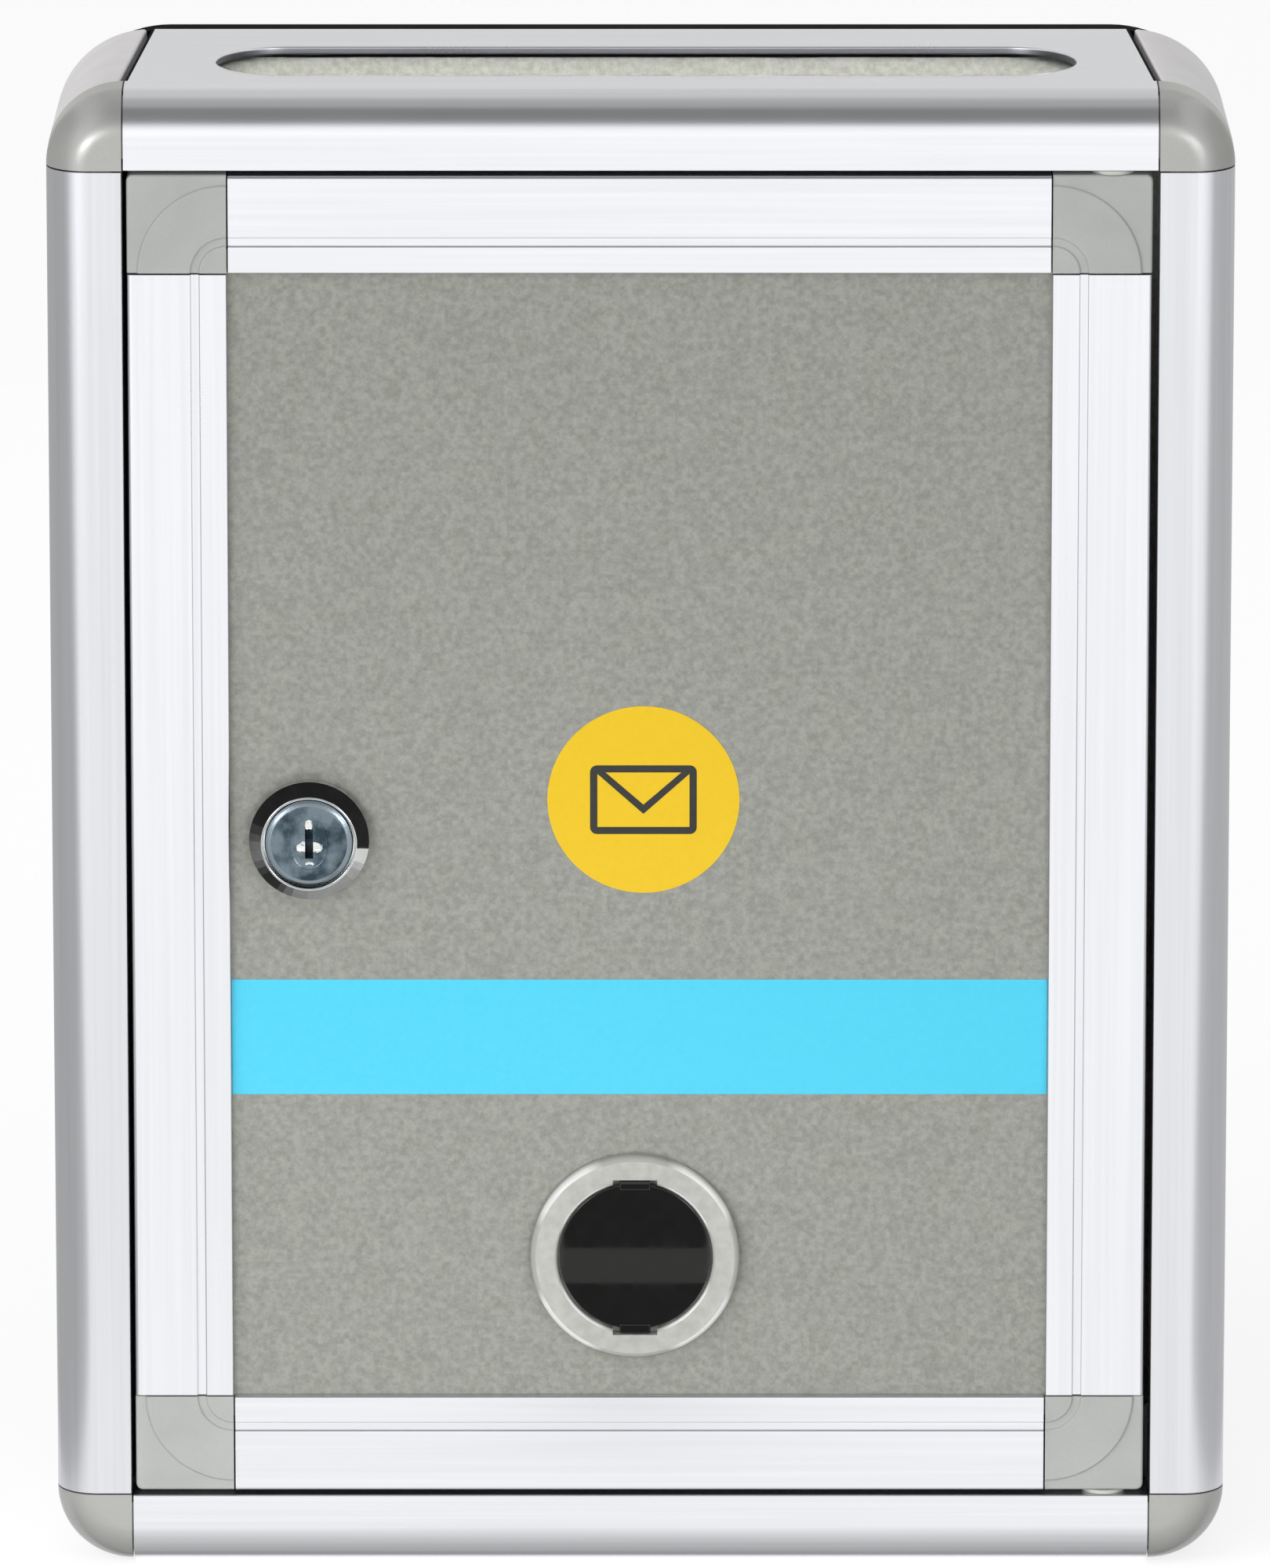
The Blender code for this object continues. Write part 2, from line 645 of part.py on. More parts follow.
def make_back_trim():
    loops = [outer_outline(0), outer_outline(TRIM_LEDGE, TRIM_INNER_RADIUS)]
    loops += [circle((x, z), SCREW_RADIUS + SEAM, SMALL_TURN_STEPS) for x, z in screw_places()]
    trim = plate("back_trim", loops, TRIM_FRONT, CASE_DEPTH)
    seat = plate(
        "trim_seat_cut",
        [outer_outline(TRIM_EDGE)],
        CASE_DEPTH - BACK_THICKNESS - SEAM,
        CASE_DEPTH + OVERRUN,
    )
    cut(trim, seat)
    inset = RAIL_WALL + SEAM
    front = TRIM_FRONT - TRIM_RIB_HEIGHT
    ribs = []
    for side, quarter in SIDES.items():
        across = side in ("top", "bottom")
        half = (OPENING_HALF_WIDTH if across else OPENING_HALF_HEIGHT) - RAIL_WALL
        half -= STRIP_REACH + STRIP_FLARE
        edge = (CASE_HEIGHT if across else CASE_WIDTH) / 2
        rib = box(
            f"{side}_trim_rib",
            (-edge + inset, front, -half),
            (-edge + inset + TRIM_RIB, TRIM_FRONT + SEAM, half),
        )
        rib.data.transform(Matrix.Rotation(math.radians(quarter), 4, "Y"))
        ribs.append(rib)
    join(trim, group("trim_ribs", ribs))
    place(trim, case, black_plastic, (0, FRONT, MIDDLE))


def sink_cut(name, rear):
    """A cone that clears a countersunk head by one seam and opens past the rear."""
    slope = (SCREW_HEAD_RADIUS - SCREW_RADIUS) / SCREW_HEAD_HEIGHT
    neck = rear - SCREW_SINK - SCREW_HEAD_HEIGHT
    point = neck - (SCREW_RADIUS + SEAM) / slope
    mouth = rear + OVERRUN
    return turned(name, [(0, point), (slope * (mouth - point), mouth), (0, mouth)], steps=SMALL_TURN_STEPS)


def make_back_panel():
    loops = [outer_outline(TRIM_EDGE + SEAM)]
    hang = MIDDLE - KEYHOLE_DROP
    low = -MIDDLE + FIXING_HOLE_RISE
    for x in (-KEYHOLE_SPACING / 2, KEYHOLE_SPACING / 2):
        loops.append(keyhole((x, hang), KEYHOLE_RADIUS, KEYHOLE_NECK, KEYHOLE_RISE))
        loops.append(circle((x, low), FIXING_HOLE_RADIUS, SMALL_TURN_STEPS))
    panel = plate("back_panel", loops, CASE_DEPTH - BACK_THICKNESS, CASE_DEPTH)
    sinks = [move(sink_cut("screw_sink", CASE_DEPTH), (x, 0, z)) for x, z in screw_places()]
    cut(panel, group("screw_sinks", sinks))
    place(panel, case, grey_sheet, (0, FRONT, MIDDLE))


def make_back_screws():
    rear = CASE_DEPTH - SCREW_SINK
    for corner, (x, z) in zip(CORNERS, screw_places()):
        tip = rear - SCREW_LENGTH
        profile = [(0, tip), (SCREW_RADIUS, tip), (SCREW_RADIUS, rear - SCREW_HEAD_HEIGHT)]
        profile += [(SCREW_HEAD_RADIUS, rear), (0, rear)]
        screw = turned(f"back_screw_{corner}", profile, steps=SMALL_TURN_STEPS)
        drive = plate(
            f"{corner}_screw_drive",
            [circle((0, 0), SCREW_DRIVE, HEX_SIDES)],
            rear - SCREW_DRIVE_DEPTH,
            rear + OVERRUN,
        )
        cut(screw, drive)
        place(screw, case, zinc, (x, FRONT, MIDDLE + z))


# Hinges: a headed pin through each jamb into a flanged bush in the door's corner block

def make_hinges():
    for end, hand in (("top", 1), ("bottom", -1)):
        jamb = CASE_HEIGHT - RAIL_WIDTH if hand > 0 else RAIL_WIDTH
        door_edge = DOOR_TOP if hand > 0 else DOOR_BOTTOM
        head_seat = jamb + hand * (RAIL_WALL + SEAM)
        tip = door_edge - hand * PIN_REACH
        pin = rod(f"hinge_pin_{end}", PIN_RADIUS, *sorted((0, tip - head_seat)))
        head = rod(
            f"{end}_pin_head",
            PIN_HEAD_RADIUS,
            *sorted((0, hand * PIN_HEAD_HEIGHT)),
        )
        join(pin, head)
        place(pin, case, zinc, (AXIS_X, AXIS_Y, head_seat))
        sleeve = sorted((hand * BUSH_FLANGE_THICKNESS, hand * (BUSH_FLANGE_THICKNESS - BUSH_LENGTH)))
        bush = rod(f"hinge_bush_{end}", BUSH_RADIUS, *sleeve)
        flange = rod(f"{end}_bush_flange", BUSH_FLANGE_RADIUS, *sorted((0, hand * BUSH_FLANGE_THICKNESS)))
        bore = rod(f"{end}_bush_bore", BUSH_BORE_RADIUS, sleeve[0] - OVERRUN, sleeve[1] + OVERRUN)
        join(bush, flange)
        cut(bush, bore)
        gap = (DOOR_GAP - BUSH_FLANGE_THICKNESS) / 2
        place(bush, door, nylon, (AXIS_X, AXIS_Y, door_edge + hand * gap))


# Door frame

def door_section():
    """A box section with a channel for the panel along its inner edge, and a fine groove in its face."""
    channel = DOOR_RAIL_WIDTH - PANEL_INSERT - SEAM
    channel_rear = PANEL_REAR + SEAM
    groove = DOOR_RAIL_WIDTH - GROOVE_OFFSET
    edge = DOOR_EDGE_RADIUS
    outside = [(0, DOOR_THICKNESS)] + arc((edge, edge), edge, 180, 270, EDGE_STEPS)
    outside += [(groove - GROOVE_WIDTH, 0), (groove - GROOVE_WIDTH, GROOVE_DEPTH)]
    outside += [(groove, GROOVE_DEPTH), (groove, 0), (DOOR_RAIL_WIDTH, 0)]
    outside += [(DOOR_RAIL_WIDTH, PANEL_RECESS - SEAM), (channel, PANEL_RECESS - SEAM)]
    outside += [(channel, channel_rear), (DOOR_RAIL_WIDTH, channel_rear)]
    outside += [(DOOR_RAIL_WIDTH, channel_rear + DOOR_WALL), (channel, channel_rear + DOOR_WALL)]
    outside += [(channel, DOOR_THICKNESS)]
    far = channel - DOOR_WALL
    deep = DOOR_THICKNESS - DOOR_WALL
    hollow = [(DOOR_WALL, DOOR_WALL), (far, DOOR_WALL), (far, deep), (DOOR_WALL, deep)]
    return [outside, hollow]


def make_door_rails():
    half_width = (DOOR_RIGHT - DOOR_LEFT) / 2
    half_height = (DOOR_TOP - DOOR_BOTTOM) / 2
    centre_x = (DOOR_RIGHT + DOOR_LEFT) / 2
    for side, quarter in SIDES.items():
        half = (half_width if side in ("top", "bottom") else half_height) - DOOR_RAIL_WIDTH - SEAM
        rail = extrusion(f"door_rail_{side}", door_section(), -half, half)
        place(rail, door, anodised, side_place(side, half_width, half_height, centre_x), quarter)


def door_leg(name, start, end, quarter):
    far = DOOR_RAIL_WIDTH - PANEL_INSERT - 2 * SEAM - DOOR_WALL
    near = DOOR_WALL + SEAM
    deep = DOOR_THICKNESS - DOOR_WALL - SEAM
    section = [(near, near), (far, near), (far, deep), (near, deep)]
    leg = extrusion(name, [section], start, end)
    leg.data.transform(Matrix.Rotation(math.radians(quarter), 4, "Y"))
    return leg


def make_door_corner(corner, quarter):
    """A corner block with a raised quarter disc, arcs that carry on the frame's groove, and two legs.

    Its frame's origin is the door's outer corner, with the block at +X and -Z of it.
    """
    size = DOOR_RAIL_WIDTH
    radius = BLOCK_CORNER_RADIUS
    inner = (size, -size)
    outline = arc((radius, -radius), radius, 180, 90, EDGE_STEPS) + [(size, 0), inner, (0, -size)]
    block = plate(f"door_corner_{corner}", [outline], BLOCK_PAD_HEIGHT, DOOR_THICKNESS)
    pad_outline = [inner] + arc(inner, BLOCK_PAD_RADIUS, 180, 90, 2 * ARC_STEPS)
    pad = plate(f"{corner}_pad", [pad_outline], 0, 2 * BLOCK_PAD_HEIGHT)
    ring = arc(inner, GROOVE_OFFSET, 190, 80, 2 * ARC_STEPS)
    ring += arc(inner, GROOVE_OFFSET + GROOVE_WIDTH, 80, 190, 2 * ARC_STEPS)
    groove = plate(f"{corner}_groove_cut", [ring], -OVERRUN, GROOVE_DEPTH)
    channel = size - PANEL_INSERT - SEAM
    pocket = box(
        f"{corner}_panel_cut",
        (channel, PANEL_RECESS - SEAM, -size - OVERRUN),
        (size + OVERRUN, PANEL_REAR + SEAM, -channel),
    )
    side_leg = door_leg(f"{corner}_door_side_leg", -size - BLOCK_LEG_REACH, BLOCK_LEG_ROOT - size, 0)
    cross_leg = door_leg(f"{corner}_door_cross_leg", size - BLOCK_LEG_ROOT, size + BLOCK_LEG_REACH, 90)
    join(block, group(f"{corner}_pad_and_legs", [pad, side_leg, cross_leg]))
    cuts = [groove, pocket]
    if "right" in corner:
        name = f"{corner}_bush_cut"
        cuts.append(hinge_bore(name, corner, BUSH_RADIUS + SEAM, AXIS_INSET, OVERRUN, BUSH_LENGTH + OVERRUN))
    cut(block, group(f"{corner}_block_cuts", cuts))
    half_width = (DOOR_RIGHT - DOOR_LEFT) / 2
    half_height = (DOOR_TOP - DOOR_BOTTOM) / 2
    centre_x = (DOOR_RIGHT + DOOR_LEFT) / 2
    place(block, door, block_plastic, corner_place(corner, half_width, half_height, centre_x), quarter)


def make_door_panel():
    edge = DOOR_RAIL_WIDTH - PANEL_INSERT
    half_width = (DOOR_RIGHT - DOOR_LEFT) / 2 - edge
    half_height = (DOOR_TOP - DOOR_BOTTOM) / 2 - edge
    centre_x = (DOOR_RIGHT + DOOR_LEFT) / 2
    left = centre_x - half_width
    right = centre_x + half_width
    outline = [(left, -half_height), (right, -half_height), (right, half_height), (left, half_height)]
    lock_hole = double_d((LOCK_X, LOCK_Z - MIDDLE), LOCK_BARREL_RADIUS + SEAM, LOCK_BARREL_FLAT + SEAM)
    window_hole = circle((WINDOW_X, WINDOW_HEIGHT - MIDDLE), BEZEL_TUBE_RADIUS + SEAM)
    panel = plate("door_panel", [outline, lock_hole, window_hole], PANEL_RECESS, PANEL_REAR)
    place(panel, door, grey_sheet, (0, FRONT, MIDDLE))


# Window

def make_window():
    where = (WINDOW_X, FRONT, WINDOW_HEIGHT)
    seat = PANEL_RECESS - SEAM
    front = seat - BEZEL_FLANGE
    lens_front = front + LENS_SINK
    lens_rear = lens_front + LENS_THICKNESS
    tube_rear = PANEL_RECESS + BEZEL_TUBE_LENGTH
    ledge = BEZEL_BORE_RADIUS - LENS_SEAT
    edge = BEZEL_EDGE
    profile = [(BEZEL_BORE_RADIUS, front)]
    profile += arc((BEZEL_RADIUS - edge, front + edge), edge, 270, 360, EDGE_STEPS)
    profile += [(BEZEL_RADIUS, seat), (BEZEL_TUBE_RADIUS, seat), (BEZEL_TUBE_RADIUS, tube_rear)]
    profile += [(ledge, tube_rear), (ledge, lens_rear + SEAM), (BEZEL_BORE_RADIUS, lens_rear + SEAM)]
    bezel = turned("window_bezel", profile, closed=True)
    notch = box(
        "bezel_notch_cut",
        (-TAB_WIDTH / 2 - SEAM, front - OVERRUN, -LENS_RADIUS - TAB_REACH - SEAM),
        (TAB_WIDTH / 2 + SEAM, lens_rear + SEAM, LENS_RADIUS + TAB_REACH + SEAM),
    )
    cut(bezel, notch)
    place(bezel, door, clear_plastic, where)

    lens = plate("window_lens", [circle((0, 0), LENS_RADIUS)], lens_front, lens_rear)
    tabs = box(
        "lens_tabs",
        (-TAB_WIDTH / 2, lens_front, -LENS_RADIUS - TAB_REACH),
        (TAB_WIDTH / 2, lens_rear, LENS_RADIUS + TAB_REACH),
    )
    join(lens, tabs)
    place(lens, door, smoked_plastic, where)

    inner = BEZEL_TUBE_RADIUS + SEAM
    outer = inner + RETAINER_WALL
    ring_front = PANEL_REAR + SEAM
    ring_rear = ring_front + RETAINER_THICKNESS
    ring = [(inner, ring_front), (outer, ring_front), (outer, ring_rear - edge)]
    ring += [(outer - edge, ring_rear), (inner, ring_rear)]
    place(turned("window_retainer", ring, closed=True), door, black_plastic, where)


# Lock

def make_lock_body():
    front = -LOCK_PROUD
    seat = PANEL_RECESS - SEAM
    step = PLUG_SINK - LOCK_PROUD + PLUG_FACE_THICKNESS + SEAM
    face = PLUG_FACE_RADIUS + SEAM
    bore = PLUG_RADIUS + SEAM
    edge = LOCK_FLANGE_EDGE
    profile = [(face, front)]
    profile += arc((LOCK_FLANGE_RADIUS - edge, front + edge), edge, 270, 360, EDGE_STEPS)
    profile += [(LOCK_FLANGE_RADIUS, seat), (LOCK_BARREL_RADIUS, seat), (LOCK_BARREL_RADIUS, BARREL_REAR)]
    profile += [(bore, BARREL_REAR), (bore, step), (face, step)]
    barrel = turned("lock_body", profile, closed=True)
    for name, side in (("left", -1), ("right", 1)):
        near, far = sorted((side * LOCK_BARREL_FLAT, side * (LOCK_BARREL_RADIUS + OVERRUN)))
        reach = LOCK_BARREL_RADIUS + OVERRUN
        cut(barrel, box(f"barrel_flat_{name}", (near, seat, -reach), (far, BARREL_REAR + OVERRUN, reach)))
    place(barrel, door, chrome, (LOCK_X, FRONT, LOCK_Z))


def make_lock_fasteners():
    hole = LOCK_BARREL_RADIUS + SEAM
    front = PANEL_REAR + SEAM
    rear = front + WASHER_THICKNESS
    washer = plate("lock_washer", [circle((0, 0), WASHER_RADIUS), circle((0, 0), hole)], front, rear)
    place(washer, door, zinc, (LOCK_X, FRONT, LOCK_Z))
    nut_front = rear + SEAM
    across_corners = NUT_ACROSS_FLATS / 2 / math.cos(math.pi / HEX_SIDES)
    loops = [circle((0, 0), across_corners, HEX_SIDES), circle((0, 0), hole)]
    nut = plate("lock_nut", loops, nut_front, nut_front + NUT_THICKNESS)
    place(nut, door, zinc, (LOCK_X, FRONT, LOCK_Z))


def make_plug():
    front = PLUG_SINK - LOCK_PROUD
    face_rear = front + PLUG_FACE_THICKNESS
    edge = PLUG_FACE_EDGE
    profile = [(0, front + KEYWAY_DISH_DEPTH), (KEYWAY_DISH_RADIUS, front + KEYWAY_DISH_DEPTH)]
    profile += [(KEYWAY_DISH_RADIUS, front), (PLUG_FACE_RADIUS - edge, front)]
    profile += [(PLUG_FACE_RADIUS, front + edge), (PLUG_FACE_RADIUS, face_rear), (PLUG_RADIUS, face_rear)]
    profile += [(PLUG_RADIUS, BARREL_REAR), (0, BARREL_REAR)]
    plug = turned("lock_plug", profile)
    half = PLUG_TANG / 2
    tang_rear = BARREL_REAR + PLUG_TANG_LENGTH
    tang = box("plug_tang", (-half, BARREL_REAR - OVERRUN, -half), (half, tang_rear, half))
    keyway = box(
        "keyway_cut",
        (-KEYWAY_WIDTH / 2, front - OVERRUN, -KEYWAY_HEIGHT / 2),
        (KEYWAY_WIDTH / 2, front + KEYWAY_DEPTH, KEYWAY_HEIGHT / 2),
    )
    screw_front = tang_rear + SEAM - CAM_SCREW_LENGTH
    bore = rod("plug_screw_bore", CAM_SCREW_RADIUS + SEAM, screw_front - SEAM, tang_rear + OVERRUN, ALONG_Y)
    join(plug, tang)
    cut(plug, keyway, bore)
    place(plug, lock, chrome, (LOCK_X, FRONT, LOCK_Z))


def make_cam():
    """A cranked cam: its side view extruded across, kept where its front view allows."""
    hub_front = BARREL_REAR + SEAM
    hub_rear = hub_front + CAM_THICKNESS
    tip_front = STOP_REAR + CAM_CLEARANCE
    tip_rear = tip_front + CAM_THICKNESS
    bend = -CAM_CRANK_START
    bend_end = bend - CAM_CRANK_RUN
    half = CAM_HUB_RADIUS + OVERRUN
    side_view = [
        (half, hub_front),
        (half, hub_rear),
        (bend, hub_rear),
        (bend_end, tip_rear),
        (-CAM_REACH - OVERRUN, tip_rear),
        (-CAM_REACH - OVERRUN, tip_front),
        (bend_end, tip_front),
        (bend, hub_front),
    ]
    cam = extrusion("lock_cam", [side_view], -half, half)
    cam.data.transform(Matrix(((0, 0, 1, 0), (0, 1, 0, 0), (1, 0, 0, 0), (0, 0, 0, 1))))
    tidy(cam.data)
    arm = CAM_ARM_WIDTH / 2
    shoulder = math.degrees(math.asin(arm / CAM_HUB_RADIUS))
    tip = (0, arm - CAM_REACH)
    outline = arc((0, 0), CAM_HUB_RADIUS, shoulder - 90, 270 - shoulder, 4 * ARC_STEPS)
    outline += arc(tip, arm, 180, 360)
    front_view = plate("cam_front_view", [outline], tip_front - OVERRUN, hub_rear + OVERRUN)
    boolean(cam, front_view, "INTERSECT")
    square = PLUG_TANG / 2 + SEAM
    hole = box("cam_hole_cut", (-square, hub_front - OVERRUN, -square), (square, hub_rear + OVERRUN, square))
    cut(cam, hole)
    place(cam, lock, zinc, (LOCK_X, FRONT, LOCK_Z))


def make_cam_screw():
    tang_rear = BARREL_REAR + PLUG_TANG_LENGTH
    hub_rear = BARREL_REAR + SEAM + CAM_THICKNESS
    seat = max(tang_rear, hub_rear) + SEAM
    head_rear = seat + CAM_SCREW_HEAD_HEIGHT
    tip = seat - CAM_SCREW_LENGTH
    edge = PLUG_FACE_EDGE
    head = CAM_SCREW_HEAD_RADIUS
    profile = [(0, tip), (CAM_SCREW_RADIUS, tip), (CAM_SCREW_RADIUS, seat), (head, seat)]
    profile += [(head, head_rear - edge), (head - edge, head_rear), (0, head_rear)]
    screw = turned("cam_screw", profile, steps=SMALL_TURN_STEPS)
    place(screw, lock, zinc, (LOCK_X, FRONT, LOCK_Z))


# Build

for old in list(bpy.data.objects):
    bpy.data.objects.remove(old)

scene = bpy.context.scene
parts = bpy.data.collections.new("suggestion_box")
tools = bpy.data.collections.new("cutters")
scene.collection.children.link(parts)
scene.collection.children.link(tools)

anodised = material("anodised_aluminium", (0.82, 0.83, 0.85), 0.35, metallic=1.0)
cap_plastic = material("grey_cap_plastic", (0.38, 0.39, 0.37), 0.5)
strip_plastic = material("pale_strip_plastic", (0.66, 0.67, 0.68), 0.5)
block_plastic = material("grey_block_plastic", (0.45, 0.46, 0.45), 0.5)
grey_sheet = material("grey_coated_sheet", (0.34, 0.34, 0.31), 0.6)
black_plastic = material("black_plastic", (0.02, 0.02, 0.02), 0.5)
zinc = material("zinc_plated_steel", (0.62, 0.63, 0.64), 0.35, metallic=1.0)
nylon = material("pale_nylon", (0.7, 0.7, 0.68), 0.45)
clear_plastic = material("clear_acrylic", (0.9, 0.92, 0.92), 0.05, transmission=1.0)
smoked_plastic = material("smoked_acrylic", (0.02, 0.02, 0.02), 0.1)
chrome = material("chrome", (0.8, 0.82, 0.84), 0.1, metallic=1.0)

case = body("case", (0, 0, 0))
door = body("door", (AXIS_X, AXIS_Y, 0))
lock = body("lock", (LOCK_X, FRONT, LOCK_Z), door)

make_case_rails()
for corner, quarter in CORNERS.items():
    make_corner_cap(corner, quarter)
    make_corner_strip(corner, quarter)
make_back_trim()
make_back_panel()
make_back_screws()
make_hinges()
make_door_rails()
for corner, quarter in CORNERS.items():
    make_door_corner(corner, quarter)
make_door_panel()
make_window()
make_lock_body()
make_lock_fasteners()
make_plug()
make_cam()
make_cam_screw()

for part in parts.objects:
    if part.type == "MESH":
        part.data.shade_smooth()
        part.data.set_sharp_from_angle(angle=math.radians(SHARP_ANGLE))
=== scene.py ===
# %% [markdown]
# # A suggestion box in satin aluminium
#
# The real thing hangs on a wall: an aluminium frame with a posting slot in its top, plastic caps at its
# corners, and a locked door of coated sheet with a small window. The CAD model already holds every piece at
# its true size, so this lesson keeps that frame and gives it edges, finishes and light.

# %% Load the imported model
import math

import bmesh
import bpy
from mathutils import Matrix, Vector


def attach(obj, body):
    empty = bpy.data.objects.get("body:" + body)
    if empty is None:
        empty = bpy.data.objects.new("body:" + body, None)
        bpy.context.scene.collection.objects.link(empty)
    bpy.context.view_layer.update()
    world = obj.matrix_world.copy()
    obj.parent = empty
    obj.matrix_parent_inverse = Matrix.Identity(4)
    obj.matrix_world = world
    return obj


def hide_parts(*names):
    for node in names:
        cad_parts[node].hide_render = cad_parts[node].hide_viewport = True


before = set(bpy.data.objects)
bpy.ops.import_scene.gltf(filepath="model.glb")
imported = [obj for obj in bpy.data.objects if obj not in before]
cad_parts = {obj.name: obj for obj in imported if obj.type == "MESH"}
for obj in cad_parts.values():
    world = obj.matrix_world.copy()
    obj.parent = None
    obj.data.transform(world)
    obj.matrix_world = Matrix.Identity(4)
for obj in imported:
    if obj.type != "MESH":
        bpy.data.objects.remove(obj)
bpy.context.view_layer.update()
MM = 0.001
FRONT = -31
MIDDLE = 135
scene = bpy.context.scene
scene.view_settings.view_transform = "Standard"

# %% [markdown]
# ## The camera
#
# A product photograph like this is taken from a few metres with a long lens, so that the box's sides stay
# nearly parallel. A short lens would spread them. The camera stands straight in front and looks down a
# little, which shows the top with its slot.

# %% Place the camera
AIM = Vector((-1, FRONT, 145.3)) * MM
LOOK_DOWN = math.radians(14)
DISTANCE = 2.8
LENS = 361.5

towards_camera = Vector((0, -math.cos(LOOK_DOWN), math.sin(LOOK_DOWN)))
view = bpy.data.cameras.new("front_view")
view.lens = LENS
view.sensor_width = 36
camera = bpy.data.objects.new("front_view", view)
camera.location = AIM + towards_camera * DISTANCE
camera.rotation_euler = towards_camera.to_track_quat("Z", "Y").to_euler()
scene.collection.objects.link(camera)
scene.camera = camera
print("camera", DISTANCE, "m away with a", LENS, "mm lens")

# %% [markdown]
# ## Nodes and colours
#
# Every finish below is a handful of nodes. One small function adds a node with its settings, and fills its
# sockets with numbers, with written colours, or with what other nodes give. Where several sockets share one
# name they are numbered: a Mix node takes its colours at 6 and 7, and a Map Range takes the pattern at 0, the
# range it comes from at 1 and 2, and the range it goes to at 3 and 4. Colours are written as they are seen on
# a screen, and one function turns them into the linear numbers that the renderer adds up.

# %% Helpers for materials
def linear(code):
    """A colour as seen on a screen, such as #A0B1C2, in the renderer's linear numbers."""
    channels = [int(code[i:i + 2], 16) / 255 for i in (1, 3, 5)]
    return (*[c / 12.92 if c <= 0.04045 else ((c + 0.055) / 1.055) ** 2.4 for c in channels], 1)


def fill(node, sockets):
    """Gives each socket its value, its written colour, or the output that feeds it."""
    for socket, value in sockets.items():
        if isinstance(value, bpy.types.Node):
            value = value.outputs[0]
        if isinstance(value, bpy.types.NodeSocket):
            node.id_data.links.new(value, node.inputs[socket])
        else:
            node.inputs[socket].default_value = linear(value) if isinstance(value, str) else value


def add_node(tree, kind, sockets, **settings):
    """One node of some kind, with its settings and its filled sockets."""
    node = tree.nodes.new("ShaderNode" + kind)
    for name, value in settings.items():
        setattr(node, name, value)
    fill(node, sockets)
    return node


def new_finish(name, **values):
    """A material, its tree, its shader with some plain values, and the place on the piece."""
    material = bpy.data.materials.new(name)
    material.use_nodes = True
    tree = material.node_tree
    shader = tree.nodes["Principled BSDF"]
    fill(shader, {socket.replace("_", " "): value for socket, value in values.items()})
    return material, tree, shader, add_node(tree, "TexCoord", {}).outputs["Object"]


def two_tone(tree, pattern, low, high, first, second):
    """A colour that goes from the first to the second as a pattern goes from low to high."""
    amount = add_node(tree, "MapRange", {0: pattern, 1: low, 2: high})
    return add_node(tree, "Mix", {0: amount, 6: first, 7: second}, data_type="RGBA").outputs[2]


def from_centre(tree, place, centre):
    """The place as seen from a centre in mm, and its distance from it in the front view, in metres."""
    centred = add_node(tree, "Mapping", {"Vector": place, "Location": tuple(-centre * MM)})
    flat = add_node(tree, "VectorMath", {0: centred, 1: (1, 0, 1)}, operation="MULTIPLY")
    return centred, add_node(tree, "VectorMath", {0: flat}, operation="LENGTH").outputs["Value"]


def dress(shader, colour, gloss, relief=None):
    """Wires a finish: its colour, the range of its roughness along a pattern, and its relief in metres."""
    tree = shader.id_data
    fill(shader, {"Base Color": colour, "Roughness": add_node(tree, "MapRange", dict(enumerate(gloss)))})
    if relief:
        bump = add_node(tree, "Bump", dict(zip(("Height", "Strength", "Distance"), relief)))
        fill(shader, {"Normal": bump})


def seen_directly(tree):
    """One for camera, mirror and see-through rays, and zero for the soft light between surfaces."""
    rays = add_node(tree, "LightPath", {})
    total = rays.outputs["Is Camera Ray"]
    for kind in ("Is Glossy Ray", "Is Transmission Ray"):
        total = add_node(tree, "Math", {0: total, 1: rays.outputs[kind]}, operation="ADD", use_clamp=True)
    return total


print("helpers ready; mid grey #808080 is", round(linear("#808080")[0], 3), "in linear light")

# %% [markdown]
# ## Light
#
# The box stands on a white table in a soft, even studio. Diffuse surfaces get plain light from all round,
# one large lamp from the upper left gives it a direction, and two low lamps draw the highlights on the
# corners. Two small lamps lighten the foot and the inside of the slot. Only the low lamps show in mirrors,
# so that no other hard patch of light lies on the metal.

# %% The room and the lamps
ROOM_LIGHT = 0.4
BOX_CENTRE = (0, 0, MIDDLE * MM)

room = bpy.data.worlds.new("white_studio")
scene.world = room
room.use_nodes = True
tree = room.node_tree
level = add_node(tree, "MapRange", {0: seen_directly(tree), 3: ROOM_LIGHT})
fill(tree.nodes["Background"], {"Color": "#FFFFFF", "Strength": level})


def add_lamp(name, place, size, power, aim=BOX_CENTRE, spread=180, mirrored=False):
    """A flat lamp of some width and height in metres that faces a place, with a spread in degrees."""
    lamp = bpy.data.lights.new(name, "AREA")
    lamp.shape = "RECTANGLE"
    lamp.size, lamp.size_y = size
    lamp.spread = math.radians(spread)
    lamp.energy = power
    holder = bpy.data.objects.new(name, lamp)
    holder.location = place
    holder.rotation_euler = (Vector(place) - Vector(aim)).to_track_quat("Z", "Y").to_euler()
    holder.visible_camera = False
    holder.visible_glossy = mirrored
    scene.collection.objects.link(holder)
    print("lamp", name, power, "W")


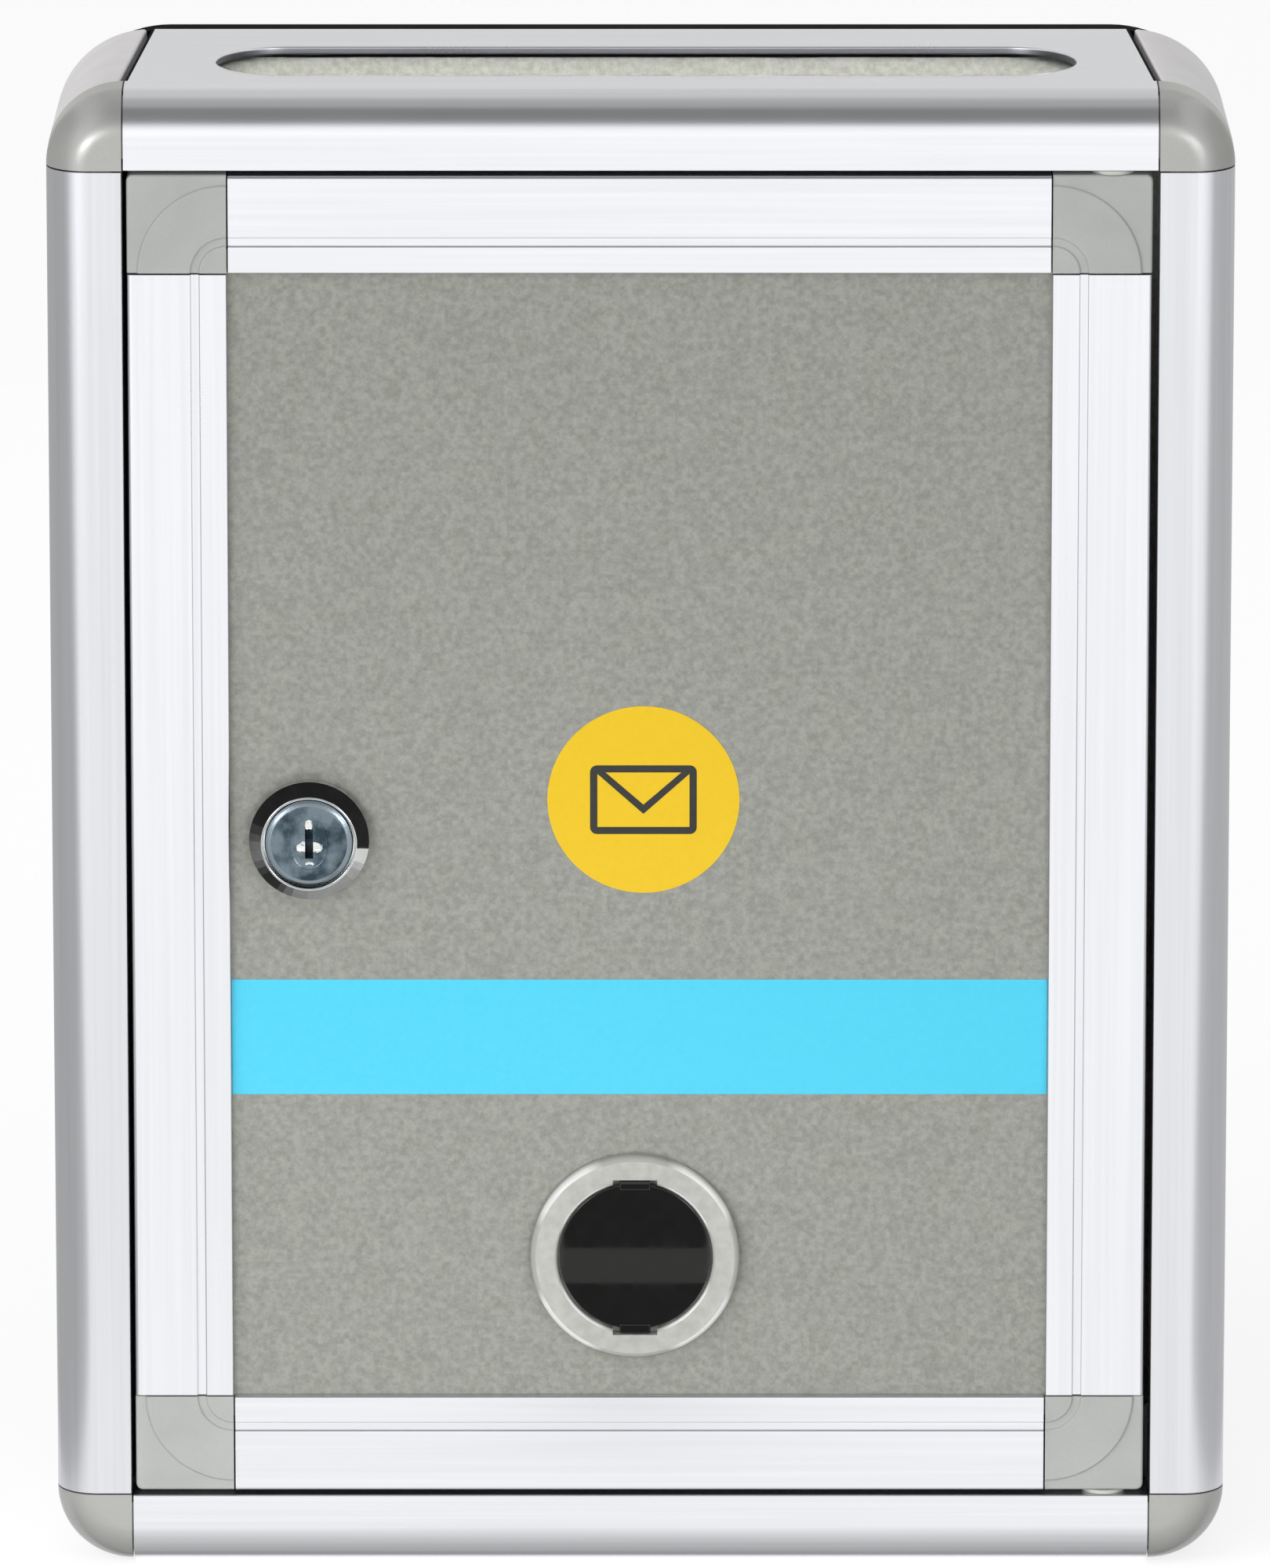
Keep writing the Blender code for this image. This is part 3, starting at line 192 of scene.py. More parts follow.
add_lamp("key_upper_left", (-2.1, -1.7, 1.5), (1.8, 1.8), 26)
add_lamp("fill_upper_right", (1.7, -2.0, 1.5), (1.0, 1.0), 6)
add_lamp("low_left", (-1.1, -2.2, 0.5), (0.7, 0.34), 9, mirrored=True)
add_lamp("low_right", (1.1, -2.2, 0.5), (0.7, 0.34), 7.5, mirrored=True)
add_lamp("near_low", (-0.05, -0.25, 0.03), (0.3, 0.03), 0.16, (0, 0, 0.06))
add_lamp("into_the_slot", (0.001, -0.15, 0.307), (0.16, 0.012), 0.02, (0.001, 0.0322, 0.2614), 12)

# %% [markdown]
# ## Floor and cards
#
# Metal has no colour of its own to show, only what it reflects. So cards that only reflections see stand
# round the box, as in a real studio: a white apron before it for the flat faces, grey ones beside and over it
# for the dark bands of the rounded edges, and small ones close round the lock. Steps of grey at its foot are a
# painted shadow: they stand for the floor's shade there, as mirrors see it. The floor is white to the camera
# and to mirrors, and it still takes the box's shadow.

# %% The floor and how a card is made
FLOOR_GLOW = 0.7
FLOOR_REACH = 6
FLOOR_DROP = -0.0002
CARD_WARMTH = 0.97


def to_object(shape, name):
    """An object with the shape as its mesh; the shape itself is used up."""
    mesh = bpy.data.meshes.new(name)
    shape.to_mesh(mesh)
    shape.free()
    drawn = bpy.data.objects.new(name, mesh)
    scene.collection.objects.link(drawn)
    return drawn


def set_up(name, shape, finish):
    """Makes the shape a part of the studio, not of the box."""
    drawn = to_object(shape, name)
    drawn.data.materials.append(finish)
    return drawn


def add_card(name, shape, grey):
    """A grey card that only reflections see; a grey over 1 is brighter than white paper."""
    finish, _, shader, _ = new_finish(name + "_grey", Base_Color="#000000", Specular_IOR_Level=0)
    fill(shader, {"Emission Color": (grey, grey, grey * CARD_WARMTH, 1), "Emission Strength": 1})
    card = set_up(name, shape, finish)
    card.visible_camera = False
    card.visible_diffuse = False
    card.visible_shadow = False
    card.visible_transmission = False
    print("card", name, "level", grey)


def sheet(corners):
    """A flat four-cornered sheet."""
    shape = bmesh.new()
    shape.faces.new([shape.verts.new(corner) for corner in corners])
    return shape


corners = [(x * FLOOR_REACH, y * FLOOR_REACH, FLOOR_DROP) for x, y in ((-1, -1), (1, -1), (1, 1), (-1, 1))]
table, tree, shader, _ = new_finish("white_table", Base_Color="#B9B9B9", Roughness=0.8, Specular_IOR_Level=0.1)
glow = add_node(tree, "MapRange", {0: seen_directly(tree), 4: FLOOR_GLOW})
fill(shader, {"Emission Color": "#FFFFFF", "Emission Strength": glow})
set_up("floor", sheet(corners), table)
print("floor", 2 * FLOOR_REACH, "m wide")

# %% The large cards
WHITE_CARD = 1.2

for name, side, grey in (("card_left", -1, 0.54), ("card_right", 1, 0.62)):
    foot, head = side * 0.15, side * 0.5
    add_card(name, sheet([(foot, -0.16, 0.001), (foot, 0.5, 0.001), (head, 0.5, 0.6), (head, -0.16, 0.6)]), grey)

OVERHEAD = [
    ("card_above", (-1.1, 0.75), (-0.3, 1.15), 0.22), ("card_overhead", (-0.3, 1.15), (0.2, 1.15), 0.5),
    ("card_behind", (0.2, 1.15), (0.9, 0.8), 0.76), ("card_wall", (0.9, 0.8), (0.95, 0.0), 0.84),
]
for name, near, far, grey in OVERHEAD:
    add_card(name, sheet([(-0.5, *near), (0.5, *near), (0.5, *far), (-0.5, *far)]), grey)
add_card("card_far", sheet([(-2.5, -5, 0), (2.5, -5, 0), (2.5, -5, 1.6), (-2.5, -5, 1.6)]), WHITE_CARD)

# %% The cards on the floor
def floor_card(name, left, right, near, far, grey, lift=0.4):
    """A card that lies just over the floor in front of the box, in mm."""
    flat = [(left, -near, lift), (right, -near, lift), (right, -far, lift), (left, -far, lift)]
    add_card(name, sheet([Vector(corner) * MM for corner in flat]), grey)


floor_card("card_apron", -900, 900, 50, 4990, WHITE_CARD, 0.2)
# painted shadow: grey steps that stand for the floor's shade by the box's foot, as mirrors see it
FOOT_SHADE_STEPS = [
    (27, 0.4), (28.5, 0.52), (30, 0.62), (32, 0.72), (34.5, 0.81), (37.5, 0.9), (41, 0.99), (45, 1.09), (50, 1.2),
]
for (near, grey), (far, _) in zip(FOOT_SHADE_STEPS, FOOT_SHADE_STEPS[1:]):
    floor_card(f"card_foot_{near:g}", -130, 130, near, far, grey)
for name, near, far, grey in (("far", 242, 310, 0.28), ("band", 217, 242, 0.84), ("near", 150, 217, 0.28)):
    floor_card(f"card_window_{name}", -15, 13, near, far, grey)

# %% The cards round the lock
LOCK = Vector((-59, FRONT, MIDDLE))
FLAG_RADIUS = 13
FLAG_DEPTH = 6.5
FLAG_STEPS = 24


def lock_flag(start, sweep, grey):
    """A bent card close round the lock, that sweeps anticlockwise from a start at the right, in degrees."""
    flag = bmesh.new()
    across, up = math.cos(math.radians(start)) * FLAG_RADIUS, math.sin(math.radians(start)) * FLAG_RADIUS
    ends = [flag.verts.new(Vector((across, depth, up)) * MM) for depth in (0, -FLAG_DEPTH)]
    flag.edges.new(ends)
    bmesh.ops.spin(
        flag, geom=flag.verts[:] + flag.edges[:], cent=(0, 0, 0), axis=(0, -1, 0), angle=math.radians(sweep),
        steps=FLAG_STEPS, use_merge=False,
    )
    bmesh.ops.translate(flag, verts=flag.verts[:], vec=(LOCK + Vector((0, 2, -1))) * MM)
    add_card(f"card_lock_{start}", flag, grey)


FLAGS = [
    (-6, 0.02), (160, 0.05), (170, 0.1), (178, 0.17), (188, 0.2), (200, 0.13), (208, 0.06), (216, 0.03),
    (236, 0.08), (243, 0.18), (252, 0.3), (268, 0.36), (318, 0.44), (330, 0.6), (338, 0.85), (354, 0),
]
for (start, grey), (end, _) in zip(FLAGS, FLAGS[1:]):
    lock_flag(start, end - start, grey)

# %% [markdown]
# ## Satin anodised aluminium
#
# The frames are extruded: soft hot metal is pushed through a steel die, which leaves faint lines along the
# bar. Anodising etches the surface and grows a clear, hard skin, so it looks pale and satin, never like a
# mirror. The lines follow each bar, so there is one finish for upright bars and one for level bars. Real
# lines are finer than a tenth of a millimetre; these are 0.9 mm wide, so that they show. The case's upright
# bars get a darker copy of the finish, which is painted shade.

# %% Anodised aluminium
DIE_LINE = 0.0009
DIE_LINE_LENGTH = 0.09


def anodised_aluminium(name, run, dark="#D8D9DF", pale="#DFE0E6"):
    """Satin aluminium with die lines along X or Z, as given by run."""
    finish, tree, shader, place = new_finish(name, Metallic=1.0)
    across, along = 1 / DIE_LINE, 1 / DIE_LINE_LENGTH
    scale = (along, across, across) if run == "X" else (across, across, along)
    lines = add_node(tree, "Mapping", {"Vector": place, "Scale": scale})
    die = add_node(tree, "TexNoise", {"Vector": lines, "Scale": 1.0, "Detail": 3})
    cloud = add_node(tree, "TexNoise", {"Vector": place, "Scale": 1 / 0.03})
    grit = add_node(tree, "TexNoise", {"Vector": place, "Scale": 1 / 0.0003})
    etched = add_node(tree, "MapRange", {0: grit, 3: 0.24, 4: 0.28})
    fill(shader, {
        "Base Color": two_tone(tree, die, 0.3, 0.7, dark, pale),
        "Roughness": add_node(tree, "Math", {0: cloud, 1: 0.06, 2: etched}, operation="MULTIPLY_ADD"),
        "Normal": add_node(tree, "Bump", {"Height": die, "Strength": 0.25, "Distance": 0.000003}),
    })
    return finish


level_aluminium = anodised_aluminium("satin_anodised_aluminium_level", "X")
upright_aluminium = anodised_aluminium("satin_anodised_aluminium_upright", "Z")
# painted shade: the case's upright bars get a darker copy of the same aluminium
shaded_case_aluminium = anodised_aluminium("satin_anodised_aluminium_case_shaded", "Z", "#CDCED4", "#D4D5DB")
print("three aluminium finishes: level, upright, and a darker copy with painted shade for the case's sides")

# %% [markdown]
# ## Powder coated sheet
#
# The door's panel and the back are steel sheet with a baked powder coat. The powder melts into a skin with
# fine pimples, like orange peel, and small pale and dark flecks of the two powders that were mixed. Each
# fleck leans to green or to purple, in soft clouds.

# %% Coated sheet
FLECK = 0.0011
DARK_FLECKS = ("#8B8C84", "#8C8D87")
PALE_FLECKS = ("#A3A49B", "#A3A39E")


def coated_sheet(name):
    """A powder coat with dark and pale flecks."""
    finish, tree, shader, place = new_finish(name, Specular_IOR_Level=0.4)
    coarse = add_node(tree, "TexNoise", {"Vector": place, "Scale": 1 / FLECK, "Detail": 2.5, "Roughness": 0.6})
    cloud = add_node(tree, "TexNoise", {"Vector": place, "Scale": 1 / (5 * FLECK)})
    dark, pale = [two_tone(tree, cloud, 0.42, 0.62, *flecks) for flecks in (DARK_FLECKS, PALE_FLECKS)]
    colour = two_tone(tree, coarse, 0.3, 0.7, dark, pale)
    dress(shader, colour, (coarse, 0.3, 0.7, 0.6, 0.45), (coarse, 0.5, 0.00008))
    return finish


door_coat = coated_sheet("grey_powder_coated_sheet")
back_coat = coated_sheet("grey_back_sheet")
print("powder coat flecks", FLECK / MM, "mm")

# %% [markdown]
# ## Moulded plastics
#
# The caps, blocks and strips are injection moulded ABS. The mould was spark eroded, so the plastic comes
# out with a fine matt grain, drawn coarser here than in life so that it shows. The caps are sprayed with
# silver paint, whose tiny metal flakes give wide, soft highlights. The back frame is the same plastic in
# black, and the hinge bushes are nylon, which is cloudy and slightly waxy.

# %% Plastics
MOULD_GRAIN = 0.00035
MOULD_FLOW = 0.012


def moulded_plastic(name, dark, pale, roughness, **values):
    """Plastic from a spark-eroded mould: fine pits over the wide, faint marks of its flow."""
    finish, tree, shader, place = new_finish(name, **values)
    pits = add_node(tree, "TexNoise", {"Vector": place, "Scale": 1 / MOULD_GRAIN})
    flow = add_node(tree, "TexNoise", {"Vector": place, "Scale": 1 / MOULD_FLOW, "Detail": 3})
    both = add_node(tree, "Math", {0: pits, 1: 0.4, 2: flow}, operation="MULTIPLY_ADD")
    colour = two_tone(tree, both, 0.45, 0.95, dark, pale)
    dress(shader, colour, (flow, 0.3, 0.7, roughness + 0.05, roughness - 0.05), (pits, 0.4, 0.00003))
    return finish


cap_abs = moulded_plastic("silver_painted_abs", "#A8A8A6", "#B4B4B2", 0.32, Metallic=0.4)
strip_abs = moulded_plastic("pale_moulded_abs", "#F0EDF0", "#F9F6F9", 0.42)
block_abs = moulded_plastic("block_moulded_abs", "#AFB1AE", "#BABCB9", 0.42)
black_abs = moulded_plastic("black_moulded_abs", "#0E0E0E", "#161616", 0.85, Specular_IOR_Level=0.05)
waxy = {"Subsurface_Weight": 0.15, "Subsurface_Scale": 0.001}
bush_nylon = moulded_plastic("pale_nylon", "#C9C9C2", "#D3D3CC", 0.4, **waxy)
print("five plastics with a grain of", MOULD_GRAIN / MM, "mm")

# %% [markdown]
# ## Acrylic for the window
#
# The window is a push-fit ring of clear acrylic round a disc of smoked acrylic. Acrylic is moulded against
# polished steel, so it is glossy, with an index of refraction of 1.49, and only fine hairlines mark it. The
# ring's rims are painted paler than its face, most of all towards the four diagonals: a painted highlight.

# %% Acrylics
ACRYLIC_IOR = 1.49
WINDOW = Vector((-1, FRONT, 58))
FACE_RADIUS = 0.0161
FACE_HALF_WIDTH = 0.00172

clear_acrylic, tree, shader, place = new_finish(
    "milky_clear_acrylic", IOR=ACRYLIC_IOR, Transmission_Weight=0.2)
waves = add_node(tree, "TexNoise", {"Vector": place, "Scale": 1 / 0.002})
centred, radius = from_centre(tree, place, WINDOW)
parts = add_node(tree, "SeparateXYZ", {0: centred}).outputs
product = add_node(tree, "Math", {0: parts[0], 1: parts[2]}, operation="MULTIPLY")
square = add_node(tree, "Math", {0: radius, 1: radius}, operation="MULTIPLY")
size = add_node(tree, "Math", {0: product}, operation="ABSOLUTE")
diagonal = add_node(tree, "Math", {0: size, 1: square}, operation="DIVIDE")
on_face = add_node(tree, "Math", {0: radius, 1: FACE_RADIUS, 2: FACE_HALF_WIDTH}, operation="COMPARE")
cloudy = two_tone(tree, waves, 0.35, 0.65, "#C9CAC4", "#D6D7D1")
# painted highlight: off the flat face, the rims go pale towards the four diagonals
painted_diagonal_highlight = two_tone(tree, diagonal, 0.3, 0.42, "#B9BAB3", "#F6F6F3")
colour = two_tone(tree, on_face, 0, 1, painted_diagonal_highlight, cloudy)
dress(shader, colour, (waves, 0.3, 0.7, 0.05, 0.14), (waves, 0.4, 0.00002))

smoked_acrylic, tree, shader, place = new_finish("smoked_acrylic", IOR=ACRYLIC_IOR)
dust = add_node(tree, "TexNoise", {"Vector": place, "Scale": 1 / 0.0025, "Detail": 4})
dress(shader, two_tone(tree, dust, 0.35, 0.75, "#070807", "#0D0E0D"), (dust, 0.3, 0.7, 0.012, 0.04))
print("clear and smoked acrylic")

# %% [markdown]
# ## Plated metals
#
# The lock is zinc die casting, plated with bright chrome on its ring and turned smooth on its face, which
# leaves faint circles. Screws, pins and the cam are steel with a blue-white zinc plate, which is duller and
# shows small crystals. Circles and crystals are drawn about a millimetre wide, coarser than in life.

# %% Chrome
TOOL_CIRCLES = 0.0012
PLUG_FACE = 0.0068

bright_chrome, tree, shader, place = new_finish("bright_chrome", Metallic=1.0)
wear = add_node(tree, "TexNoise", {"Vector": place, "Scale": 1 / 0.003, "Detail": 4})
dress(shader, two_tone(tree, wear, 0.35, 0.7, "#D2D5D6", "#E3E5E5"), (wear, 0.3, 0.7, 0.06, 0.16))

turned_chrome, tree, shader, place = new_finish("turned_chrome", Metallic=1.0)
centred, radius = from_centre(tree, place, LOCK)
rings = add_node(
    tree, "TexWave",
    {"Vector": centred, "Scale": 1 / TOOL_CIRCLES, "Distortion": 2.0, "Detail": 3, "Detail Scale": 2},
    wave_type="RINGS", rings_direction="Y",
).outputs["Fac"]
stain_and_dark_reflection = add_node(tree, "TexNoise", {"Vector": place, "Scale": 1 / 0.004, "Detail": 4})
# the face's dark blue-grey mottle is partly a painted reflection of the dark room, and the rim beyond PLUG_FACE is
# painted paler, a painted highlight
painted_pale_rim = add_node(tree, "Math", {0: radius, 1: PLUG_FACE}, operation="GREATER_THAN")
face = two_tone(tree, stain_and_dark_reflection, 0.4, 0.62, "#33414B", "#6E7B85")
dress(shader, two_tone(tree, painted_pale_rim, 0, 1, face, "#7F8A92"), (rings, 0, 1, 0.18, 0.3), (rings, 0.5, 0.00001))
print("chrome, with turned circles", TOOL_CIRCLES / MM, "mm apart")

# %% Zinc plate
CRYSTAL = 0.0008

zinc_plate, tree, shader, place = new_finish("zinc_plated_steel", Metallic=1.0)
crystals = add_node(tree, "TexVoronoi", {"Vector": place, "Scale": 1 / CRYSTAL}, feature="F1")
dress(shader, two_tone(tree, crystals, 0.1, 0.7, "#B7BBC2", "#D2D5D8"), (crystals, 0, 1, 0.26, 0.4))
print("zinc plate with crystals of", CRYSTAL / MM, "mm")

# %% [markdown]
# ## Vinyl film
#
# The band and the round sticker are coloured vinyl, cut from a roll and pressed on. The film follows the
# coat's pimples a little, and its gloss is softer than paint.

# %% Vinyl films
def vinyl_film(name, shade, light):
    """Glossy coloured film that shows the coat under it."""
    finish, tree, shader, place = new_finish(name, Specular_IOR_Level=0.3)
    under = add_node(tree, "TexNoise", {"Vector": place, "Scale": 1 / FLECK})
    dress(shader, two_tone(tree, under, 0, 1, shade, light), (under, 0.3, 0.7, 0.3, 0.42), (under, 0.4, 0.00002))
    return finish


blue_film = vinyl_film("cyan_vinyl_film", "#48D2F5", "#54D8F6")
yellow_film = vinyl_film("yellow_vinyl_film", "#EFC310", "#F4CD1A")
dark_film = vinyl_film("dark_vinyl_film", "#2A2A28", "#333331")
print("three films")

# %% [markdown]
# ## Building pieces
#
# Most pieces are either a section pushed along a line or a profile turned round an axis. Both start from a
# few corners, and the round ones among them are bevelled points, which is how a draughtsman rounds a
# corner. Everything is drawn in millimetres. A shape is drawn flat, so it is then stood up in the front view,
# where X runs to the right, Y to the back and Z up.

# %% Draw, push and turn
FLAT = 0.01
MERGE = 0.000001


def draw_loop(shape, points, rounds=None):
    """A closed loop of (x, y) points in mm; rounds gives radius and steps for numbered corners."""
    corners = [shape.verts.new((x * MM, y * MM, 0)) for x, y in points]
    for first, second in zip(corners, corners[1:] + corners[:1]):
        shape.edges.new((first, second))
    for number, (radius, steps) in (rounds or {}).items():
        bmesh.ops.bevel(
            shape, geom=[corners[number]], offset=radius * MM, offset_type="OFFSET", segments=steps,
            profile=0.5, affect="VERTICES", material=-1,
        )


def rectangle(half_width, half_height):
    """The four corners of a rectangle round the origin."""
    return [(x * half_width, y * half_height) for x, y in ((-1, -1), (1, -1), (1, 1), (-1, 1))]


def fill_loops(shape):
    """Fills the drawn loops with one flat face, and leaves inner loops as holes."""
    bmesh.ops.triangle_fill(shape, use_beauty=True, edges=shape.edges[:])
    bmesh.ops.dissolve_limit(shape, angle_limit=FLAT, verts=shape.verts[:], edges=shape.edges[:])


def push(shape, start, end):
    """Fills the drawn loops and pushes the face along Z from start to end, in mm."""
    fill_loops(shape)
    bmesh.ops.translate(shape, verts=shape.verts[:], vec=(0, 0, start * MM))
    grown = bmesh.ops.extrude_face_region(shape, geom=shape.faces[:])["geom"]
    tops = [item for item in grown if isinstance(item, bmesh.types.BMVert)]
    bmesh.ops.translate(shape, verts=tops, vec=(0, 0, (end - start) * MM))
    bmesh.ops.recalc_face_normals(shape, faces=shape.faces[:])


def turn(shape, angle=360, steps=96):
    """Spins the drawn loop, whose X is the radius and Y the depth, round the depth axis."""
    whole = angle == 360
    if not whole:
        fill_loops(shape)
    bmesh.ops.spin(
        shape, geom=shape.faces[:] + shape.edges[:] + shape.verts[:], cent=(0, 0, 0), axis=(0, 1, 0),
        angle=math.radians(angle), steps=steps, use_merge=whole,
    )
    bmesh.ops.remove_doubles(shape, verts=shape.verts[:], dist=MERGE)
    bmesh.ops.recalc_face_normals(shape, faces=shape.faces[:])


print("pieces are drawn in mm; points closer than", MERGE / MM, "mm are merged")

# %% Place and cut
def stand_up(shape):
    """Turns what was drawn flat into the front view: its Y becomes Z, and its Z points to the front."""
    bmesh.ops.rotate(shape, verts=shape.verts[:], matrix=Matrix.Rotation(math.radians(90), 3, "X"))


def put(shape, place, quarter=0):
    """A turn in degrees about the depth axis, then a move to a place in mm."""
    turned = Matrix.Rotation(math.radians(quarter), 4, "Y")
    bmesh.ops.transform(shape, verts=shape.verts[:], matrix=Matrix.Translation(Vector(place) * MM) @ turned)


def soften(shape, width, steps=2, chosen=None, sharpness=40):
    """Bevels the sharp edges, or the chosen ones among them, by a width in mm."""
    sharp = [e for e in shape.edges if e.is_manifold and e.calc_face_angle(0) > math.radians(sharpness)]
    if chosen:
        sharp = [e for e in sharp if chosen(*[v.co / MM for v in e.verts])]
    bmesh.ops.bevel(
        shape, geom=sharp, offset=width * MM, offset_type="OFFSET", segments=steps, profile=0.5,
        affect="EDGES", clamp_overlap=True, material=-1,
    )


def brick(low, high):
    """A block between two corners, in mm."""
    shape = bmesh.new()
    bmesh.ops.create_cube(shape, size=MM)
    bmesh.ops.scale(shape, vec=[b - a for a, b in zip(low, high)], verts=shape.verts[:])
    bmesh.ops.translate(shape, vec=[(a + b) / 2 * MM for a, b in zip(low, high)], verts=shape.verts[:])
    return shape


AXIS_TURNS = {
    "X": Matrix.Rotation(math.radians(90), 4, "Y"), "Y": Matrix.Rotation(math.radians(-90), 4, "X"), "Z": Matrix(),
}


def disc_rod(radius, low, high, axis="Z", steps=48, end_radius=None):
    """A cylinder or cone round an axis through the origin, from low to high along it, in mm."""
    shape = bmesh.new()
    bmesh.ops.create_cone(
        shape, cap_ends=True, segments=steps, radius1=radius * MM, radius2=(end_radius or radius) * MM,
        depth=(high - low) * MM,
    )
    bmesh.ops.translate(shape, verts=shape.verts[:], vec=(0, 0, (low + high) / 2 * MM))
    bmesh.ops.transform(shape, verts=shape.verts[:], matrix=AXIS_TURNS[axis])
    return shape


print("bevels, blocks and rods ready, round the axes", ", ".join(AXIS_TURNS))

# %% [markdown]
# ## Joining and finishing
#
# A cut or a join is a Boolean modifier between two closed shapes, applied at once. A finished shape becomes
# a piece: it gets its finish, it rides on a body of the CAD model, and it stands for the nodes that it
# hides. Sharp edges never look real, so most pieces have small bevels that catch a line of light, and a
# weighted normal modifier keeps the flat faces flat.

# %% Combine shapes and make pieces
SMOOTH_BELOW = math.radians(32)


def combine(shape, other, operation="DIFFERENCE"):
    """Cuts or joins one closed shape with another by the exact Boolean, and gives the result."""
    body = to_object(shape, "body_shape")
    tool = to_object(other, "tool_shape")
    cut = body.modifiers.new("Combine", "BOOLEAN")
    cut.operation = operation
    cut.object = tool
    cut.solver = "EXACT"
    result = bmesh.new()
    bpy.context.view_layer.update()
    result.from_object(body, bpy.context.evaluated_depsgraph_get())
    for drawn in (body, tool):
        mesh = drawn.data
        bpy.data.objects.remove(drawn)
        bpy.data.meshes.remove(mesh)
    bmesh.ops.remove_doubles(result, verts=result.verts[:], dist=MERGE)
    bmesh.ops.dissolve_limit(result, angle_limit=FLAT, verts=result.verts[:], edges=result.edges[:])
    return result


def add_to(shape, other):
    """Puts a second closed shape in the same mesh."""
    mesh = bpy.data.meshes.new("added")
    other.to_mesh(mesh)
    other.free()
    shape.from_mesh(mesh)
    bpy.data.meshes.remove(mesh)


def make_piece(shape, name, body, finish, stands_for=()):
    """Turns a finished shape into a piece that rides on a body and stands for CAD nodes."""
    drawn = to_object(shape, name)
    drawn.data.shade_smooth()
    drawn.data.set_sharp_from_angle(angle=SMOOTH_BELOW)
    drawn.data.materials.append(finish)
    even = drawn.modifiers.new("Even shading", "WEIGHTED_NORMAL")
    even.keep_sharp = True
    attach(drawn, body)
    if stands_for:
        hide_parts(*stands_for)
    print(name, len(drawn.data.polygons), "faces")
    return drawn


# %% [markdown]
# ## The case's profiles
#
# Four lengths of one hooked section make the case: an outer wall, a quarter-round front, a narrow flat face,
# and a jamb with a lip on which the door rests. It is pushed along its length like the real extrusion. The
# right bar has no lip, because the door hinges there. The lip's face is painted black, a painted shade, so
# that the gap round the door reads as a black line, and a narrow line of painted shade runs beside each
# slanted seam. The top bar gets the posting slot, whose rim is rounded so that letters slide in.

# %% The hooked section
SIDES = {"left": 0, "top": 90, "right": 180, "bottom": 270}
LEVEL_SIDES = ("top", "bottom")
CASE, OPENING = (105, 135), (91.5, 121.5)  # half widths and half heights
SEAM = 0.3
BAR = 13.5
ROUND = 7.5
WALL = 1.6
BAR_REAR = 60.5
LIP_FRONT, LIP_REAR, LIP_END = 10.7, 12.3, 19


def side_place(side, halves, middle_x=0):
    """Where a bar's outer edge lies, for a frame of some half width and half height."""
    x = {"left": -halves[0], "right": halves[0]}.get(side, 0)
    z = {"bottom": -halves[1], "top": halves[1]}.get(side, 0)
    return (middle_x + x, FRONT, MIDDLE + z)


def case_bar(lip):
    """The hooked section's corners, and which of them are round."""
    outline = [(0, BAR_REAR), (0, 0), (BAR, 0)]
    rounds = {1: (ROUND, 18), 2: (0.35, 3)}
    if lip:
        outline += [(BAR, LIP_FRONT), (LIP_END, LIP_FRONT), (LIP_END, LIP_REAR), (BAR - WALL, LIP_REAR)]
        rounds.update({4: (0.4, 3), 5: (0.4, 3)})
    else:
        outline += [(BAR, LIP_REAR), (BAR - WALL, LIP_REAR)]
    outline += [(BAR - WALL, WALL), (WALL, WALL), (WALL, BAR_REAR)]
    rounds[len(outline) - 2] = (ROUND - WALL, 12)
    return outline, rounds


print("case section", BAR, "mm wide and", BAR_REAR, "mm deep")

# %% The slanted ends and the painted shade lines
CAP_DEPTH = 13.5
FLARE = 3.5
SLOPE = FLARE / (BAR_REAR - CAP_DEPTH)
# width of the painted shade line beside each slanted seam, in mm
SEAM_SHADE_WIDTH = 0.5
SWAP_AXES = Matrix(((0, 0, 1, 0), (1, 0, 0, 0), (0, 1, 0, 0), (0, 0, 0, 1)))


def flare_at(depth):
    """How far the corners have widened at a depth behind the front plane."""
    return SLOPE * (depth - CAP_DEPTH)


def slant_cuts(half):
    """Wedges that slant both ends of a bar's outer wall behind the caps."""
    near, far = CAP_DEPTH - 1, BAR_REAR + 1
    line = [(near, half - flare_at(near)), (far, half - flare_at(far)), (far, half + 2), (near, half + 2)]
    wedges = bmesh.new()
    draw_loop(wedges, line)
    draw_loop(wedges, [(depth, -along) for depth, along in line])
    push(wedges, -1, WALL + 1)
    bmesh.ops.transform(wedges, verts=wedges.verts[:], matrix=SWAP_AXES)
    return wedges


def paint_shade_lines(shape, half):
    """Paints the lip's front and a narrow line beside both slanted seams black, as painted shade."""
    cuts = [((0, CAP_DEPTH, end * (half - SEAM_SHADE_WIDTH)), (0, SLOPE, end)) for end in (1, -1)]
    for place, facing in cuts + [((0, CAP_DEPTH, 0), (0, 1, 0))]:
        bmesh.ops.bisect_plane(
            shape, geom=shape.verts[:] + shape.edges[:] + shape.faces[:], dist=1e-7,
            plane_co=Vector(place) * MM, plane_no=facing,
        )
    for face in shape.faces:
        wall, depth, along = face.calc_center_median() / MM
        lip = abs(depth - LIP_FRONT) < 0.05 and wall > BAR - 0.1
        seam_shade = wall < WALL + 0.1 and depth > CAP_DEPTH and abs(along) > half - flare_at(depth) - SEAM_SHADE_WIDTH
        face.material_index = 1 if lip or seam_shade else 0


print("the corners widen by", FLARE, "mm towards the back")

# %% The four bars
HINGE_X = 83.3
HINGE_DEPTH = 4
PIN_BORE = 1.7
LATCH_CUT = 5.8  # the level bars have no lip this near the opening's left side
HINGE_CUT = 10.2  # nor from here before the hinge pin
SLOT_LEFT, SLOT_RIGHT = -75.5, 77.5
SLOT_NEAR, SLOT_FAR = 18.5, 44.5
SLOT_ROUND = 12.99


